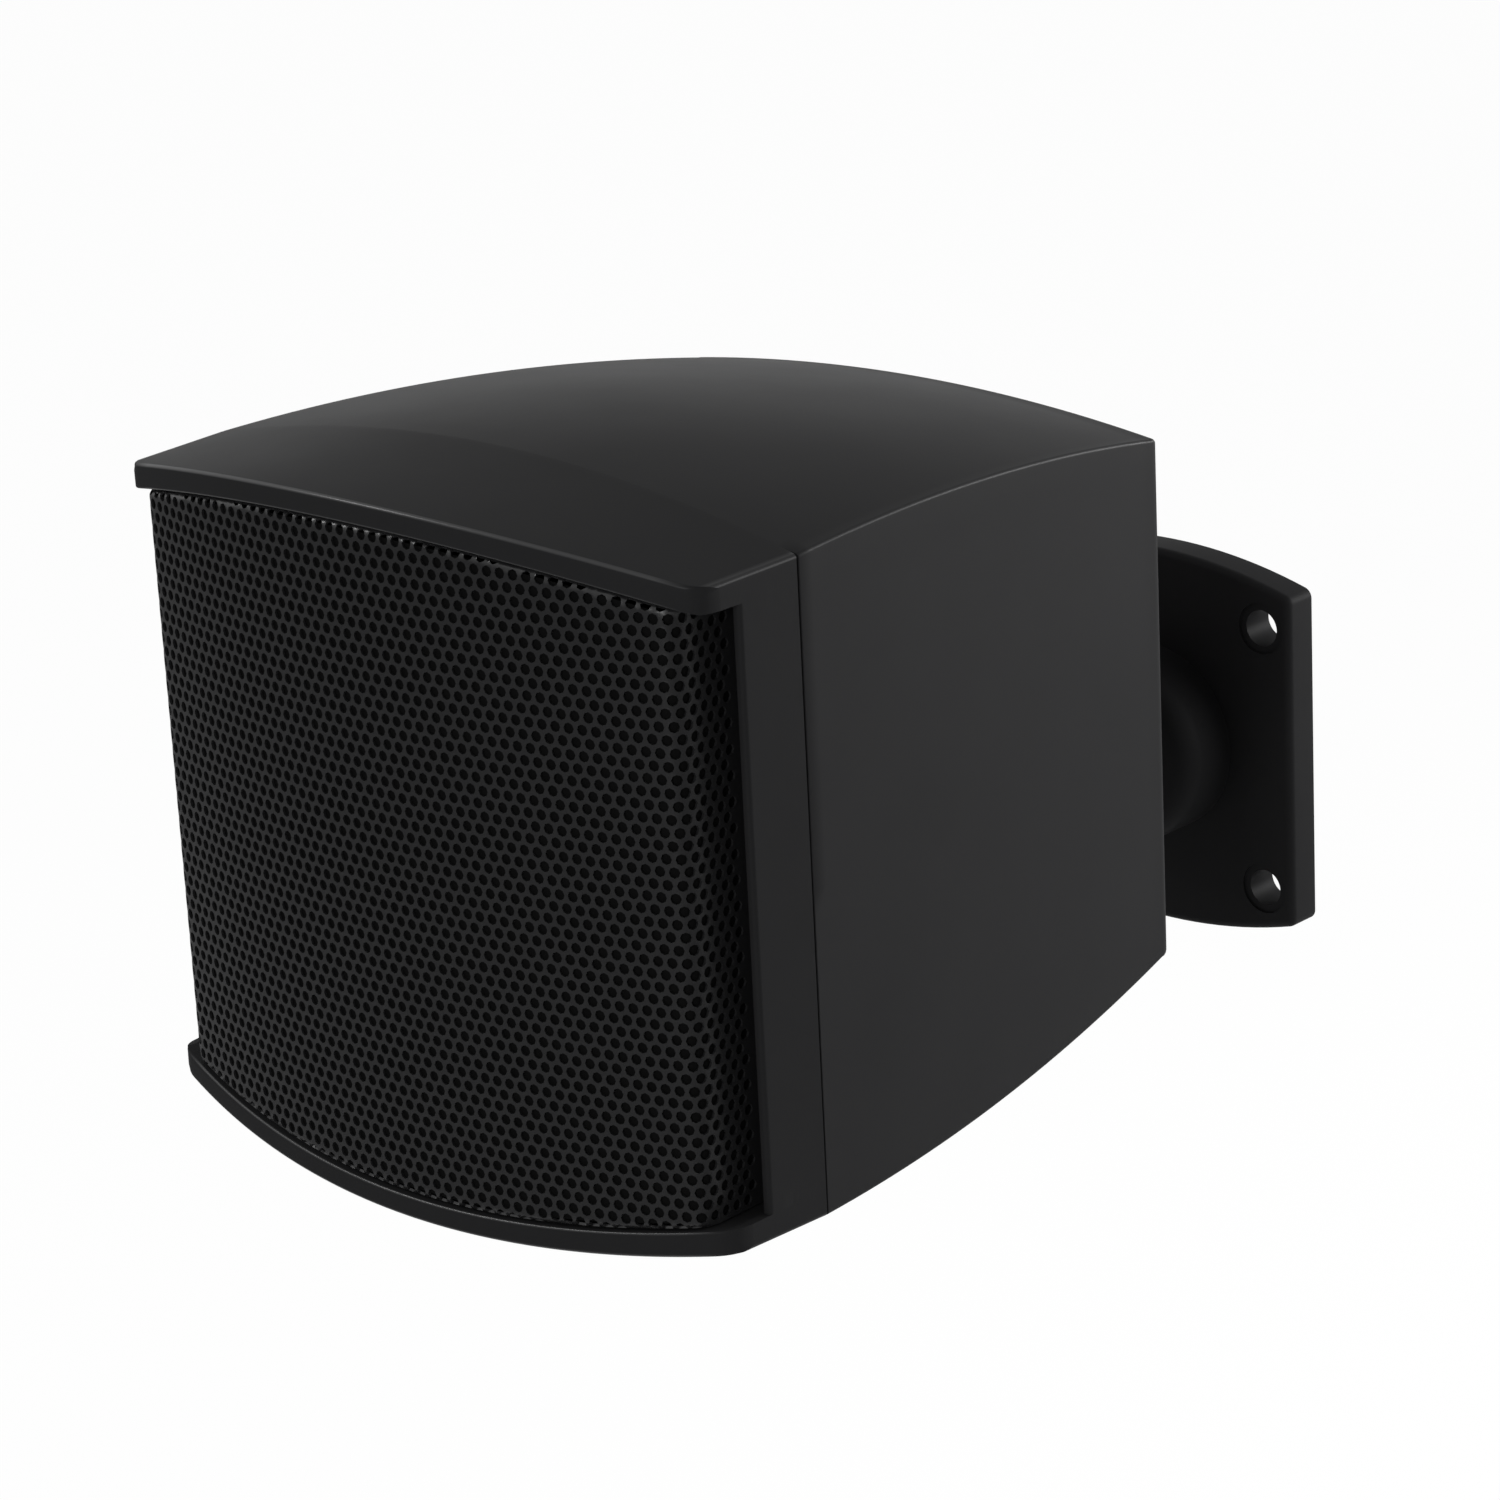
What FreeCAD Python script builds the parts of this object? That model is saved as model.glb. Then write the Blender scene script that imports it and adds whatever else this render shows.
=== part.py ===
import FreeCAD, Part
import math
import operator
import os
from types import SimpleNamespace

import Sketcher

# A small wall speaker: a moulded two-part cabinet with a convex perforated grille, a paper-cone driver
# and a rear wire terminal, carried by a ball-and-arm bracket on a wall plate.
# Frame: millimetres, +Z up, the grille faces -Y, the origin is the middle of the plate's back on the wall.

# Driving dimensions, one group per piece
DIMENSIONS = {
    # wall plate and its four screw holes
    "plate_width": 53.6,
    "plate_height": 53.6,
    "plate_rise": 4.0,
    "plate_thickness": 6.0,
    "plate_corner": 1.6,
    "plate_edge": 1.3,
    "hole_inset_across": 5.4,
    "hole_inset_up": 5.5,
    "hole_diameter": 5.8,
    "hole_seat_diameter": 8.2,
    "hole_seat_depth": 0.35,
    # ball joint: collar, seat, ball and arm
    "collar_radius": 15.2,
    "collar_height": 10.5,
    "collar_round": 3.7,
    "collar_screw_circle": 12.7,
    "ball_radius": 8.0,
    "ball_stand": 12.0,
    "seat_thickness": 1.8,
    "running_gap": 0.3,
    "mouth_radius": 9.8,
    "neck_radius": 4.0,
    "neck_length": 16.0,
    "arm_foot_radius": 8.5,
    "arm_foot_height": 4.0,
    "stud_radius": 3.0,
    "stand_off": 51.5,
    "arm_drop": 28.3,
    "nut_width": 10.0,
    "nut_height": 5.0,
    "washer_radius": 8.0,
    "washer_thickness": 1.2,
    # cabinet
    "cabinet_length": 88.4,
    "joint_width": 109.5,
    "joint_height": 91.2,
    "joint_rise": 6.4,
    "back_width": 87.6,
    "back_height": 77.9,
    "back_rise": 3.1,
    "belly_height": 4.7,
    "belly_width": 0.7,
    "wall": 2.6,
    "back_wall": 3.0,
    "edge_round": 1.6,
    "back_round": 2.4,
    "seam_gap": 0.5,
    "seam_depth": 0.9,
    "tongue_wall": 1.4,
    "post_radius": 3.8,
    "post_length": 16.0,
    "case_screw_across": 84.0,
    "case_screw_up": 76.4,
    # front bezel
    "bezel_length": 17.6,
    "bezel_draft_across": 1.1,
    "bezel_draft_up": 1.2,
    "lip_rise": 5.6,
    "lip_bulge": 8.9,
    "lip_thickness": 3.2,
    "lip_corner": 5.5,
    "frame_wall": 2.0,
    "frame_setback": 6.8,
    "frame_round": 1.6,
    "baffle_depth": 12.4,
    "baffle_thickness": 3.0,
    # grille
    "grille_inset": 2.6,
    "grille_bulge": 6.4,
    "grille_gap": 2.0,
    "grille_clear": 1.5,
    "grille_sheet": 1.0,
    "grille_bend": 4.0,
    "perforation_land": 2.4,
    # fasteners
    "screw_radius": 1.4,
    "screw_head_radius": 2.8,
    "screw_head_height": 1.8,
    "screw_gap": 0.15,
    # driver
    "flange_radius": 40.6,
    "flange_thickness": 1.0,
    "gasket_thickness": 0.6,
    "driver_screw_circle": 37.7,
    "frame_mouth_radius": 31.0,
    "frame_neck_radius": 18.0,
    "frame_depth": 21.0,
    "frame_sheet": 1.2,
    "surround_sheet": 0.5,
    "surround_outer_radius": 33.0,
    "surround_inner_radius": 28.0,
    "surround_rim": 1.6,
    "cone_sheet": 0.5,
    "cone_rim": 2.0,
    "cone_depth": 13.0,
    "coil_radius": 10.0,
    "coil_wall": 0.3,
    "coil_length": 18.0,
    "winding_wall": 0.4,
    "winding_length": 7.0,
    "magnet_gap": 0.5,
    "top_plate_radius": 21.0,
    "top_plate_thickness": 3.5,
    "magnet_radius": 25.0,
    "magnet_bore": 15.0,
    "magnet_thickness": 9.0,
    "yoke_radius": 22.0,
    "yoke_thickness": 3.5,
    "vent_radius": 2.0,
    "spider_sheet": 0.4,
    "spider_wave": 1.0,
    # rear terminal
    "terminal_width": 46.0,
    "terminal_height": 24.0,
    "terminal_thickness": 2.0,
    "terminal_rise": 14.0,
    "terminal_body_width": 34.0,
    "terminal_body_height": 18.0,
    "terminal_body_depth": 9.0,
    "terminal_screw_pitch": 40.0,
    "lever_pitch": 16.0,
    "lever_width": 9.0,
    "lever_height": 9.0,
    "lever_stand": 3.4,
    "lever_pivot_radius": 1.6,
    "wire_hole_radius": 1.5,
    "tag_width": 4.0,
    "tag_thickness": 0.8,
    "tag_length": 7.0,
}

# Radius of a rounded corner against its size along the side, for corners a little over square
CORNER_EASE = 1.2
# Lengths closer than this count as the same when edges and faces are picked
NEAR = 0.05

SIGNS = {"+": operator.add, "-": operator.sub, "*": operator.mul, "/": operator.truediv}


class Size:
    """A length that knows its number and the sheet formula that gives it."""

    def __init__(self, value, formula):
        self.value = value
        self.formula = formula

    def join(self, sign, other, swapped=False):
        left, right = (as_size(other), self) if swapped else (self, as_size(other))
        return Size(SIGNS[sign](left.value, right.value), f"({left.formula} {sign} {right.formula})")

    def __add__(self, other):
        return self.join("+", other)

    def __radd__(self, other):
        return self.join("+", other, True)

    def __sub__(self, other):
        return self.join("-", other)

    def __rsub__(self, other):
        return self.join("-", other, True)

    def __mul__(self, other):
        return self.join("*", other)

    def __rmul__(self, other):
        return self.join("*", other, True)

    def __truediv__(self, other):
        return self.join("/", other)

    def __neg__(self):
        return 0 - self

    def root(self):
        return Size(math.sqrt(self.value), f"sqrt({self.formula})")


def as_size(length):
    """Numbers become sizes, so that both can be mixed."""
    if isinstance(length, Size):
        return length
    return Size(float(length), f"({length})")


def arc_radius(chord, rise):
    """Radius of the arc that rises by rise over a chord."""
    return (chord * chord / 4 + rise * rise) / (2 * rise)


doc = FreeCAD.newDocument("wall_speaker")
sheet = doc.addObject("Spreadsheet::Sheet", "Sheet")
for row, (alias, number) in enumerate(DIMENSIONS.items(), start=1):
    sheet.set(f"A{row}", alias)
    sheet.set(f"B{row}", str(number))
    sheet.setAlias(f"B{row}", alias)
doc.recompute()
d = SimpleNamespace(**{alias: Size(number, f"Sheet.{alias}") for alias, number in DIMENSIONS.items()})

NODES = []


def bind(thing, path, length):
    """Tie one property to the sheet."""
    thing.setExpression(path, as_size(length).formula)


def place(thing, x=0, y=0, z=0):
    """Put an object at a point given by sizes."""
    for letter, length in zip("xyz", (x, y, z)):
        bind(thing, f"Placement.Base.{letter}", length)


def new_body(label, x=0, y=0, z=0):
    """Start one sub-part as a body of its own, placed in the part's frame."""
    body = doc.addObject("PartDesign::Body", label)
    place(body, x, y, z)
    NODES.append(body)
    return body


def new_sketch(body, role, offset=0):
    """A sketch on one of the body's origin planes, moved along the plane's normal."""
    sketch = body.newObject("Sketcher::SketchObject", "sketch")
    plane = [feature for feature in body.Origin.OriginFeatures if feature.Role == role][0]
    sketch.AttachmentSupport = (plane, "")
    sketch.MapMode = "FlatFace"
    bind(sketch, "AttachmentOffset.Base.z", offset)
    return sketch


def front_sketch(body, y=0):
    """A sketch seen from the front, X across and Z up, at one depth."""
    return new_sketch(body, "XZ_Plane", -as_size(y))


def limit(sketch, kind, parts, length):
    """Add one dimension to a sketch and tie it to the sheet."""
    length = as_size(length)
    index = sketch.addConstraint(Sketcher.Constraint(kind, *parts, length.value))
    sketch.renameConstraint(index, f"size{index}")
    bind(sketch, f"Constraints.size{index}", length)


def outline(sketch, corners):
    """Close a line through corners (across, up); a third entry is the radius of the arc to the next one.

    A positive radius turns left along the way, a negative one turns right.
    """
    corners = [tuple(as_size(entry) for entry in corner) for corner in corners]
    ends = []
    for index, corner in enumerate(corners):
        following = corners[(index + 1) % len(corners)]
        start = FreeCAD.Vector(corner[0].value, corner[1].value, 0)
        stop = FreeCAD.Vector(following[0].value, following[1].value, 0)
        if len(corner) == 2:
            edge = sketch.addGeometry(Part.LineSegment(start, stop))
            ends.append((edge, 1, 2))
            continue
        radius = corner[2]
        size = abs(radius.value)
        chord = stop - start
        side = FreeCAD.Vector(-chord.y, chord.x, 0).normalize() * math.copysign(1, radius.value)
        centre = (start + stop) / 2 + side * math.sqrt(max(size * size - chord.Length ** 2 / 4, 0))
        first, last = (start, stop) if radius.value > 0 else (stop, start)
        angles = [math.atan2(point.y - centre.y, point.x - centre.x) for point in (first, last)]
        if angles[1] < angles[0]:
            angles[1] += 2 * math.pi
        circle = Part.Circle(centre, FreeCAD.Vector(0, 0, 1), size)
        edge = sketch.addGeometry(Part.ArcOfCircle(circle, *angles))
        limit(sketch, "Radius", (edge,), radius if radius.value > 0 else -radius)
        ends.append((edge, 1, 2) if radius.value > 0 else (edge, 2, 1))
    for index, (edge, start, stop) in enumerate(ends):
        following = ends[(index + 1) % len(ends)]
        sketch.addConstraint(Sketcher.Constraint("Coincident", edge, stop, following[0], following[1]))
        limit(sketch, "DistanceX", (-1, 1, edge, start), corners[index][0])
        limit(sketch, "DistanceY", (-1, 1, edge, start), corners[index][1])
    return sketch


def disc(sketch, radius, across=0, up=0):
    """A full circle in a sketch."""
    radius, across, up = as_size(radius), as_size(across), as_size(up)
    centre = FreeCAD.Vector(across.value, up.value, 0)
    edge = sketch.addGeometry(Part.Circle(centre, FreeCAD.Vector(0, 0, 1), radius.value))
    limit(sketch, "Radius", (edge,), radius)
    limit(sketch, "DistanceX", (-1, 1, edge, 3), across)
    limit(sketch, "DistanceY", (-1, 1, edge, 3), up)
    return sketch


def block(sketch, width, height, across=0, up=0):
    """A rectangle in a sketch, given by its middle."""
    left, right = across - width / 2, across + width / 2
    low, high = up - height / 2, up + height / 2
    return outline(sketch, [(left, low), (right, low), (right, high), (left, high)])


def arched(sketch, width, height, rise, corner=None):
    """A rectangle whose top and bottom edges bow outwards; height is taken at the corners.

    With a corner size the four corners are rounded by arcs that leave the sides smoothly.
    """
    if corner is None:
        radius = arc_radius(width, rise)
        return outline(sketch, [
            (-width / 2, -height / 2, radius),
            (width / 2, -height / 2),
            (width / 2, height / 2, radius),
            (-width / 2, height / 2),
        ])
    reach = width / 2 - corner
    kept = 1 - 2 * corner / width
    lift = rise * (1 - kept * kept)
    radius = arc_radius(2 * reach, rise - lift)
    turning = CORNER_EASE * corner
    return outline(sketch, [
        (-reach, -height / 2 - lift, radius),
        (reach, -height / 2 - lift, turning),
        (width / 2, -height / 2 + corner),
        (width / 2, height / 2 - corner, turning),
        (reach, height / 2 + lift, radius),
        (-reach, height / 2 + lift, turning),
        (-width / 2, height / 2 - corner),
        (-width / 2, -height / 2 + corner, turning),
    ])


def add_feature(body, kind, sketch, **settings):
    """One feature made from a sketch; sizes among its settings are tied to the sheet."""
    feature = body.newObject(f"PartDesign::{kind}", kind)
    feature.Profile = sketch
    for name, setting in settings.items():
        if isinstance(setting, Size):
            bind(feature, name, setting)
        else:
            setattr(feature, name, setting)
    return feature


def pad(body, sketch, length, backwards=False):
    """Grow a front sketch towards the front, or backwards."""
    return add_feature(body, "Pad", sketch, Length=length, Reversed=backwards)


def cut(body, sketch, length, forwards=False):
    """Cut a front sketch backwards into the solid, or forwards."""
    return add_feature(body, "Pocket", sketch, Length=length, Reversed=forwards)


def cut_through(body, sketch):
    """Cut a sketch right through the solid, both ways."""
    return add_feature(body, "Pocket", sketch, Type="ThroughAll", SideType="Symmetric")


def turn(body, corners):
    """Spin a half profile, given as (along Y, radius), about the body's Y axis."""
    sketch = outline(new_sketch(body, "YZ_Plane"), corners)
    return add_feature(body, "Revolution", sketch, ReferenceAxis=(sketch, ["H_Axis"]))


def loft(body, sections, kind="AdditiveLoft", **settings):
    """Skin through front sections."""
    return add_feature(body, kind, sections[0], Sections=sections[1:], **settings)


def edges_of(feature, wanted):
    """Names of the edges of a feature that pass a test."""
    doc.recompute()
    return [f"Edge{number}" for number, edge in enumerate(feature.Shape.Edges, start=1) if wanted(edge)]


def faces_of(feature, wanted):
    """Names of the faces of a feature that pass a test."""
    doc.recompute()
    return [f"Face{number}" for number, face in enumerate(feature.Shape.Faces, start=1) if wanted(face)]


def soften(body, feature, wanted, radius):
    """Round the edges of a feature that pass a test."""
    made = body.newObject("PartDesign::Fillet", "Fillet")
    made.Base = (feature, edges_of(feature, wanted))
    bind(made, "Radius", radius)
    return made


def span(edge, axis):
    """How far an edge reaches along one axis."""
    box = edge.BoundBox
    return {"x": box.XLength, "y": box.YLength, "z": box.ZLength}[axis]


def along(axis):
    """Test for edges that run mainly along one axis."""
    return lambda edge: span(edge, axis) > 0.9 * edge.Length


def at_front(y):
    """Test for edges that lie in a plane across Y."""
    return lambda edge: abs(edge.BoundBox.YMax - y.value) < NEAR and span(edge, "y") < NEAR


def on_circle(radius, angles):
    """Points (across, up) on a circle about the axis, at angles in degrees."""
    angles = [math.radians(angle) for angle in angles]
    return [(radius * math.cos(angle), radius * math.sin(angle)) for angle in angles]


def screw(x, y, z, length, forwards=False):
    """A pan-head screw: its head's underside at a point, its shank along Y."""
    shank = doc.addObject("Part::Cylinder", "shank")
    bind(shank, "Radius", d.screw_radius)
    bind(shank, "Height", length)
    head = doc.addObject("Part::Cylinder", "head")
    bind(head, "Radius", d.screw_head_radius)
    bind(head, "Height", d.screw_head_height)
    place(head, z=-d.screw_head_height)
    whole = doc.addObject("Part::Fuse", "screw")
    whole.Base = shank
    whole.Tool = head
    whole.Placement.Rotation = FreeCAD.Rotation(FreeCAD.Vector(1, 0, 0), 90 if forwards else -90)
    place(whole, x, y, z)
    return whole


def group(label, pieces):
    """Like pieces that share one node."""
    node = doc.addObject("Part::Compound", label)
    node.Links = pieces
    NODES.append(node)
    return node


# Where the main planes lie along Y
plate_front = -d.plate_thickness
cabinet_back = plate_front - d.stand_off
joint_plane = cabinet_back - d.cabinet_length
ball_centre = -d.ball_stand
CORNERS = [(1, 1), (-1, 1), (-1, -1), (1, -1)]


def speaker_body(label):
    """A sub-part of the speaker: its own origin is on the cabinet's axis in the joint plane."""
    return new_body(label, y=joint_plane, z=d.arm_drop)


# Wall plate: moulded, arched at top and bottom, with a spherical cup for the ball's seat
cup_radius = d.ball_radius + d.seat_thickness + 2 * d.running_gap
screw_hole_radius = d.screw_radius + d.screw_gap
collar_spots = on_circle(d.collar_screw_circle, (90, 210, 330))
plate = new_body("wall_plate")
slab = pad(plate, arched(front_sketch(plate), d.plate_width, d.plate_height, d.plate_rise), d.plate_thickness)
slab = soften(plate, slab, along("y"), d.plate_corner)
soften(plate, slab, at_front(plate_front), d.plate_edge)
cup = plate.newObject("PartDesign::SubtractiveSphere", "cup")
bind(cup, "Radius", cup_radius)
place(cup, y=ball_centre)
holes = front_sketch(plate)
seats = front_sketch(plate, plate_front)
for side, level in CORNERS:
    across = side * (d.plate_width / 2 - d.hole_inset_across)
    up = level * (d.plate_height / 2 - d.hole_inset_up)
    disc(holes, d.hole_diameter / 2, across, up)
    disc(seats, d.hole_seat_diameter / 2, across, up)
cut_through(plate, holes)
cut(plate, seats, d.hole_seat_depth)
collar_holes = front_sketch(plate)
collar_recesses = front_sketch(plate)
for across, up in collar_spots:
    disc(collar_holes, screw_hole_radius, across, up)
    disc(collar_recesses, d.screw_head_radius + d.screw_gap, across, up)
cut_through(plate, collar_holes)
cut(plate, collar_recesses, d.screw_head_height + d.screw_gap, forwards=True)

# Socket collar: a domed ring that traps the ball, screwed on from behind the plate
collar_front = plate_front - d.collar_height
collar = new_body("socket_collar")
turn(collar, [
    (plate_front, 0),
    (collar_front, 0),
    (collar_front, d.collar_radius - d.collar_round, -d.collar_round),
    (collar_front + d.collar_round, d.collar_radius),
    (plate_front, d.collar_radius),
])
seat_room = collar.newObject("PartDesign::SubtractiveSphere", "seat_hollow")
bind(seat_room, "Radius", cup_radius)
seat_room.Angle1 = 0
seat_room.Placement.Rotation = FreeCAD.Rotation(FreeCAD.Vector(1, 0, 0), -90)
place(seat_room, y=ball_centre)
socket = collar.newObject("PartDesign::SubtractiveSphere", "ball_hollow")
bind(socket, "Radius", d.ball_radius + d.running_gap)
place(socket, y=ball_centre)
mouth = collar.newObject("PartDesign::SubtractiveCone", "mouth")
bind(mouth, "Radius1", d.neck_radius)
bind(mouth, "Radius2", d.mouth_radius)
bind(mouth, "Height", ball_centre - collar_front)
mouth.Placement.Rotation = FreeCAD.Rotation(FreeCAD.Vector(1, 0, 0), 90)
place(mouth, y=ball_centre)
collar_pilots = front_sketch(collar, plate_front)
for across, up in collar_spots:
    disc(collar_pilots, screw_hole_radius, across, up)
pilot_depth = d.collar_height / 2
cut(collar, collar_pilots, pilot_depth, forwards=True)
head_floor = -(d.screw_head_height + d.screw_gap)
collar_screw_length = d.plate_thickness + head_floor + pilot_depth - d.screw_gap
group("collar_screws", [
    screw(across, head_floor, up, collar_screw_length, forwards=True) for across, up in collar_spots
])

# Ball seat: a friction cap between the ball and the plate's cup
SEAT_LATITUDE = 45
seat = doc.addObject("Part::Cut", "ball_seat")
cap = doc.addObject("Part::Sphere", "seat_outside")
bore = doc.addObject("Part::Sphere", "seat_inside")
bind(cap, "Radius", d.ball_radius + d.running_gap + d.seat_thickness)
bind(bore, "Radius", d.ball_radius + d.running_gap)
cap.Angle1 = SEAT_LATITUDE
cap.Placement.Rotation = FreeCAD.Rotation(FreeCAD.Vector(1, 0, 0), -90)
place(cap, y=ball_centre)
place(bore, y=ball_centre)
seat.Base = cap
seat.Tool = bore
NODES.append(seat)

# Ball stud: ball, neck, flared arm and threaded end, turned in one piece
nut_front = cabinet_back - d.back_wall - d.washer_thickness - d.nut_height
neck_start = ball_centre - (d.ball_radius * d.ball_radius - d.neck_radius * d.neck_radius).root()
neck_end = ball_centre - d.neck_length
stud = new_body("ball_stud")
turn(stud, [
    (ball_centre + d.ball_radius, 0, d.ball_radius),
    (ball_centre, d.ball_radius, d.ball_radius),
    (neck_start, d.neck_radius),
    (neck_end, d.neck_radius),
    (cabinet_back + d.arm_foot_height, d.arm_foot_radius),
    (cabinet_back, d.arm_foot_radius),
    (cabinet_back, d.stud_radius),
    (nut_front - d.stud_radius / 2, d.stud_radius),
    (nut_front - d.stud_radius, d.stud_radius / 2),
    (nut_front - d.stud_radius, 0),
])

# Washer and nut that hold the stud inside the cabinet
stud_bore = d.stud_radius + d.screw_gap
washer = new_body("stud_washer", y=cabinet_back - d.back_wall)
pad(washer, disc(disc(front_sketch(washer), d.washer_radius), stud_bore), d.washer_thickness)
nut = new_body("stud_nut", y=cabinet_back - d.back_wall - d.washer_thickness)
hexagon = on_circle(d.nut_width / math.sqrt(3), range(0, 360, 60))
pad(nut, disc(outline(front_sketch(nut), hexagon), stud_bore), d.nut_height)

# Rear cabinet: a tapering moulded shell, open at the front
mid_width = (d.joint_width + d.back_width) / 2 + d.belly_width
mid_height = (d.joint_height + d.back_height) / 2 + d.belly_height
mid_rise = (d.joint_rise + d.back_rise) / 2
# A quarter round in steps: how far back, and how far in, as shares of its radius
ROUNDING_STEPS = [(math.sin(math.radians(a)), 1 - math.cos(math.radians(a))) for a in (0, 30, 60, 90)]


def cabinet_sections(body, inset, start, stop):
    """Three sections of the cabinet: at the joint, half way and at the back, drawn in by an inset."""
    stations = [
        (start, d.joint_width, d.joint_height, d.joint_rise),
        (d.cabinet_length / 2, mid_width, mid_height, mid_rise),
        (stop, d.back_width, d.back_height, d.back_rise),
    ]
    return [
        arched(front_sketch(body, y), width - 2 * inset, height - 2 * inset, rise, d.edge_round)
        for y, width, height, rise in stations
    ]


cabinet = speaker_body("rear_cabinet")
back_start = d.cabinet_length - d.back_round
loft(cabinet, cabinet_sections(cabinet, as_size(0), as_size(0), back_start))
back_steps = [
    arched(front_sketch(cabinet, back_start + depth * d.back_round), d.back_width - 2 * inset * d.back_round,
           d.back_height - 2 * inset * d.back_round, d.back_rise, d.edge_round)
    for depth, inset in ROUNDING_STEPS
]
loft(cabinet, back_steps, Ruled=True)
inner_back = d.cabinet_length - d.back_wall
loft(cabinet, cabinet_sections(cabinet, d.wall, as_size(0), inner_back), "SubtractiveLoft")

# Seam, tongue and screw posts round the cabinet's open front
skirt = d.bezel_length - d.baffle_depth - d.baffle_thickness
skirt_wall = d.wall - d.tongue_wall - d.screw_gap


def joint_outline(sketch, inset):
    """The cabinet's outline in the joint plane, drawn in by an inset."""
    return arched(sketch, d.joint_width - 2 * inset, d.joint_height - 2 * inset, d.joint_rise, d.edge_round)


seam = block(front_sketch(cabinet), 2 * d.joint_width, 2 * d.joint_height)
cut(cabinet, joint_outline(seam, d.seam_depth), d.seam_gap)
tongue = joint_outline(front_sketch(cabinet), d.wall - d.tongue_wall)
pad(cabinet, joint_outline(tongue, d.wall), skirt - d.screw_gap)
case_spots = [(side * d.case_screw_across / 2, level * d.case_screw_up / 2) for side, level in CORNERS]
wall_share = d.case_screw_across / d.joint_width
rib_top = d.joint_height / 2 - d.wall / 2 + d.joint_rise * (1 - wall_share * wall_share)
rib_height = rib_top - d.case_screw_up / 2
posts = front_sketch(cabinet, -skirt)
ribs = front_sketch(cabinet, d.seam_gap)
pilots = front_sketch(cabinet, -skirt)
for (across, up), (side, level) in zip(case_spots, CORNERS):
    disc(posts, d.post_radius, across, up)
    disc(pilots, screw_hole_radius, across, up)
    block(ribs, d.post_radius, rib_height, across, up + level * rib_height / 2)
pad(cabinet, ribs, d.post_length - d.seam_gap, backwards=True)
pad(cabinet, posts, skirt + d.post_length, backwards=True)
cut(cabinet, pilots, skirt + d.post_length - d.wall)

# Openings in the cabinet's back: the stud's hole, the terminal's window and its screw holes
back_cuts = disc(front_sketch(cabinet, d.cabinet_length), d.stud_radius + d.running_gap, 0, -d.arm_drop)
block(back_cuts, d.terminal_body_width + 2 * d.running_gap, d.terminal_body_height + 2 * d.running_gap,
      0, d.terminal_rise)
for side in (1, -1):
    disc(back_cuts, screw_hole_radius, side * d.terminal_screw_pitch / 2, d.terminal_rise)
cut(cabinet, back_cuts, d.back_wall * 2, forwards=True)

# Front bezel: lips that bow forwards, side frames set back, and the baffle that carries the driver
lip_plane = -d.bezel_length
apex = lip_plane - d.lip_bulge
lip_width = d.joint_width - d.bezel_draft_across
lip_height = d.joint_height - d.bezel_draft_up
baffle_front = lip_plane + d.baffle_depth
# How far a cutting outline stands clear of the solid, beside it and in front of it
SIDE_CLEAR = 0.5
FRONT_CLEAR = 5
# How far a round corner of about 65 degrees reaches back along the bow and along the side, in radii
BOW_EASE = 0.6
SIDE_EASE = 0.8


def trim_front(body, half_width, bulge, setback, corner):
    """Cut the front of a body to a bow with round corners, seen from above, set back from the lips' apex.

    The bow has its full bulge over the lips' width, and less over a narrower body.
    """
    reach = half_width - BOW_EASE * corner
    share = reach / (lip_width / 2)
    bow = bulge * share * share
    bow_end = apex + setback + bow
    side_end = bow_end + SIDE_EASE * corner
    edge = half_width + SIDE_CLEAR
    beside = edge + FRONT_CLEAR
    before = apex - FRONT_CLEAR
    plan = outline(new_sketch(body, "XY_Plane"), [
        (-edge, side_end, corner),
        (-reach, bow_end, arc_radius(2 * reach, bow)),
        (reach, bow_end, corner),
        (edge, side_end),
        (beside, side_end),
        (beside, before),
        (-beside, before),
        (-beside, side_end),
    ])
    return cut_through(body, plan)


bezel = speaker_body("front_bezel")
loft(bezel, [
    arched(front_sketch(bezel, apex), lip_width, lip_height, d.lip_rise, d.edge_round),
    joint_outline(front_sketch(bezel), as_size(0)),
])
trim_front(bezel, lip_width / 2, d.lip_bulge, 0, d.lip_corner)
tunnel_width = lip_width - 2 * d.frame_wall
tunnel_height = lip_height - 2 * d.lip_thickness
tunnel = arched(front_sketch(bezel, apex), tunnel_width, tunnel_height, d.lip_rise)
cut(bezel, tunnel, d.lip_bulge + d.baffle_depth)
cut(bezel, joint_outline(front_sketch(bezel), skirt_wall), skirt, forwards=True)
notch_length = d.lip_bulge + d.frame_setback
notch = block(new_sketch(bezel, "YZ_Plane"), notch_length, tunnel_height, apex + notch_length / 2)
notched = cut_through(bezel, notch)


def is_frame_edge(edge):
    """Test for the outer front edges of the side frames."""
    box = edge.BoundBox
    far_out = max(abs(box.XMin), abs(box.XMax)) > lip_width.value / 2
    return far_out and along("z")(edge) and abs(box.YMax - (lip_plane + d.frame_setback).value) < NEAR


soften(bezel, notched, is_frame_edge, d.frame_round)
driver_hole = d.frame_mouth_radius + d.frame_sheet + 2 * d.running_gap
baffle_cuts = disc(front_sketch(bezel), driver_hole)
driver_spots = on_circle(d.driver_screw_circle, (45, 135, 225, 315))
for across, up in driver_spots + case_spots:
    disc(baffle_cuts, screw_hole_radius, across, up)
cut(bezel, baffle_cuts, d.bezel_length, forwards=True)

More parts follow.
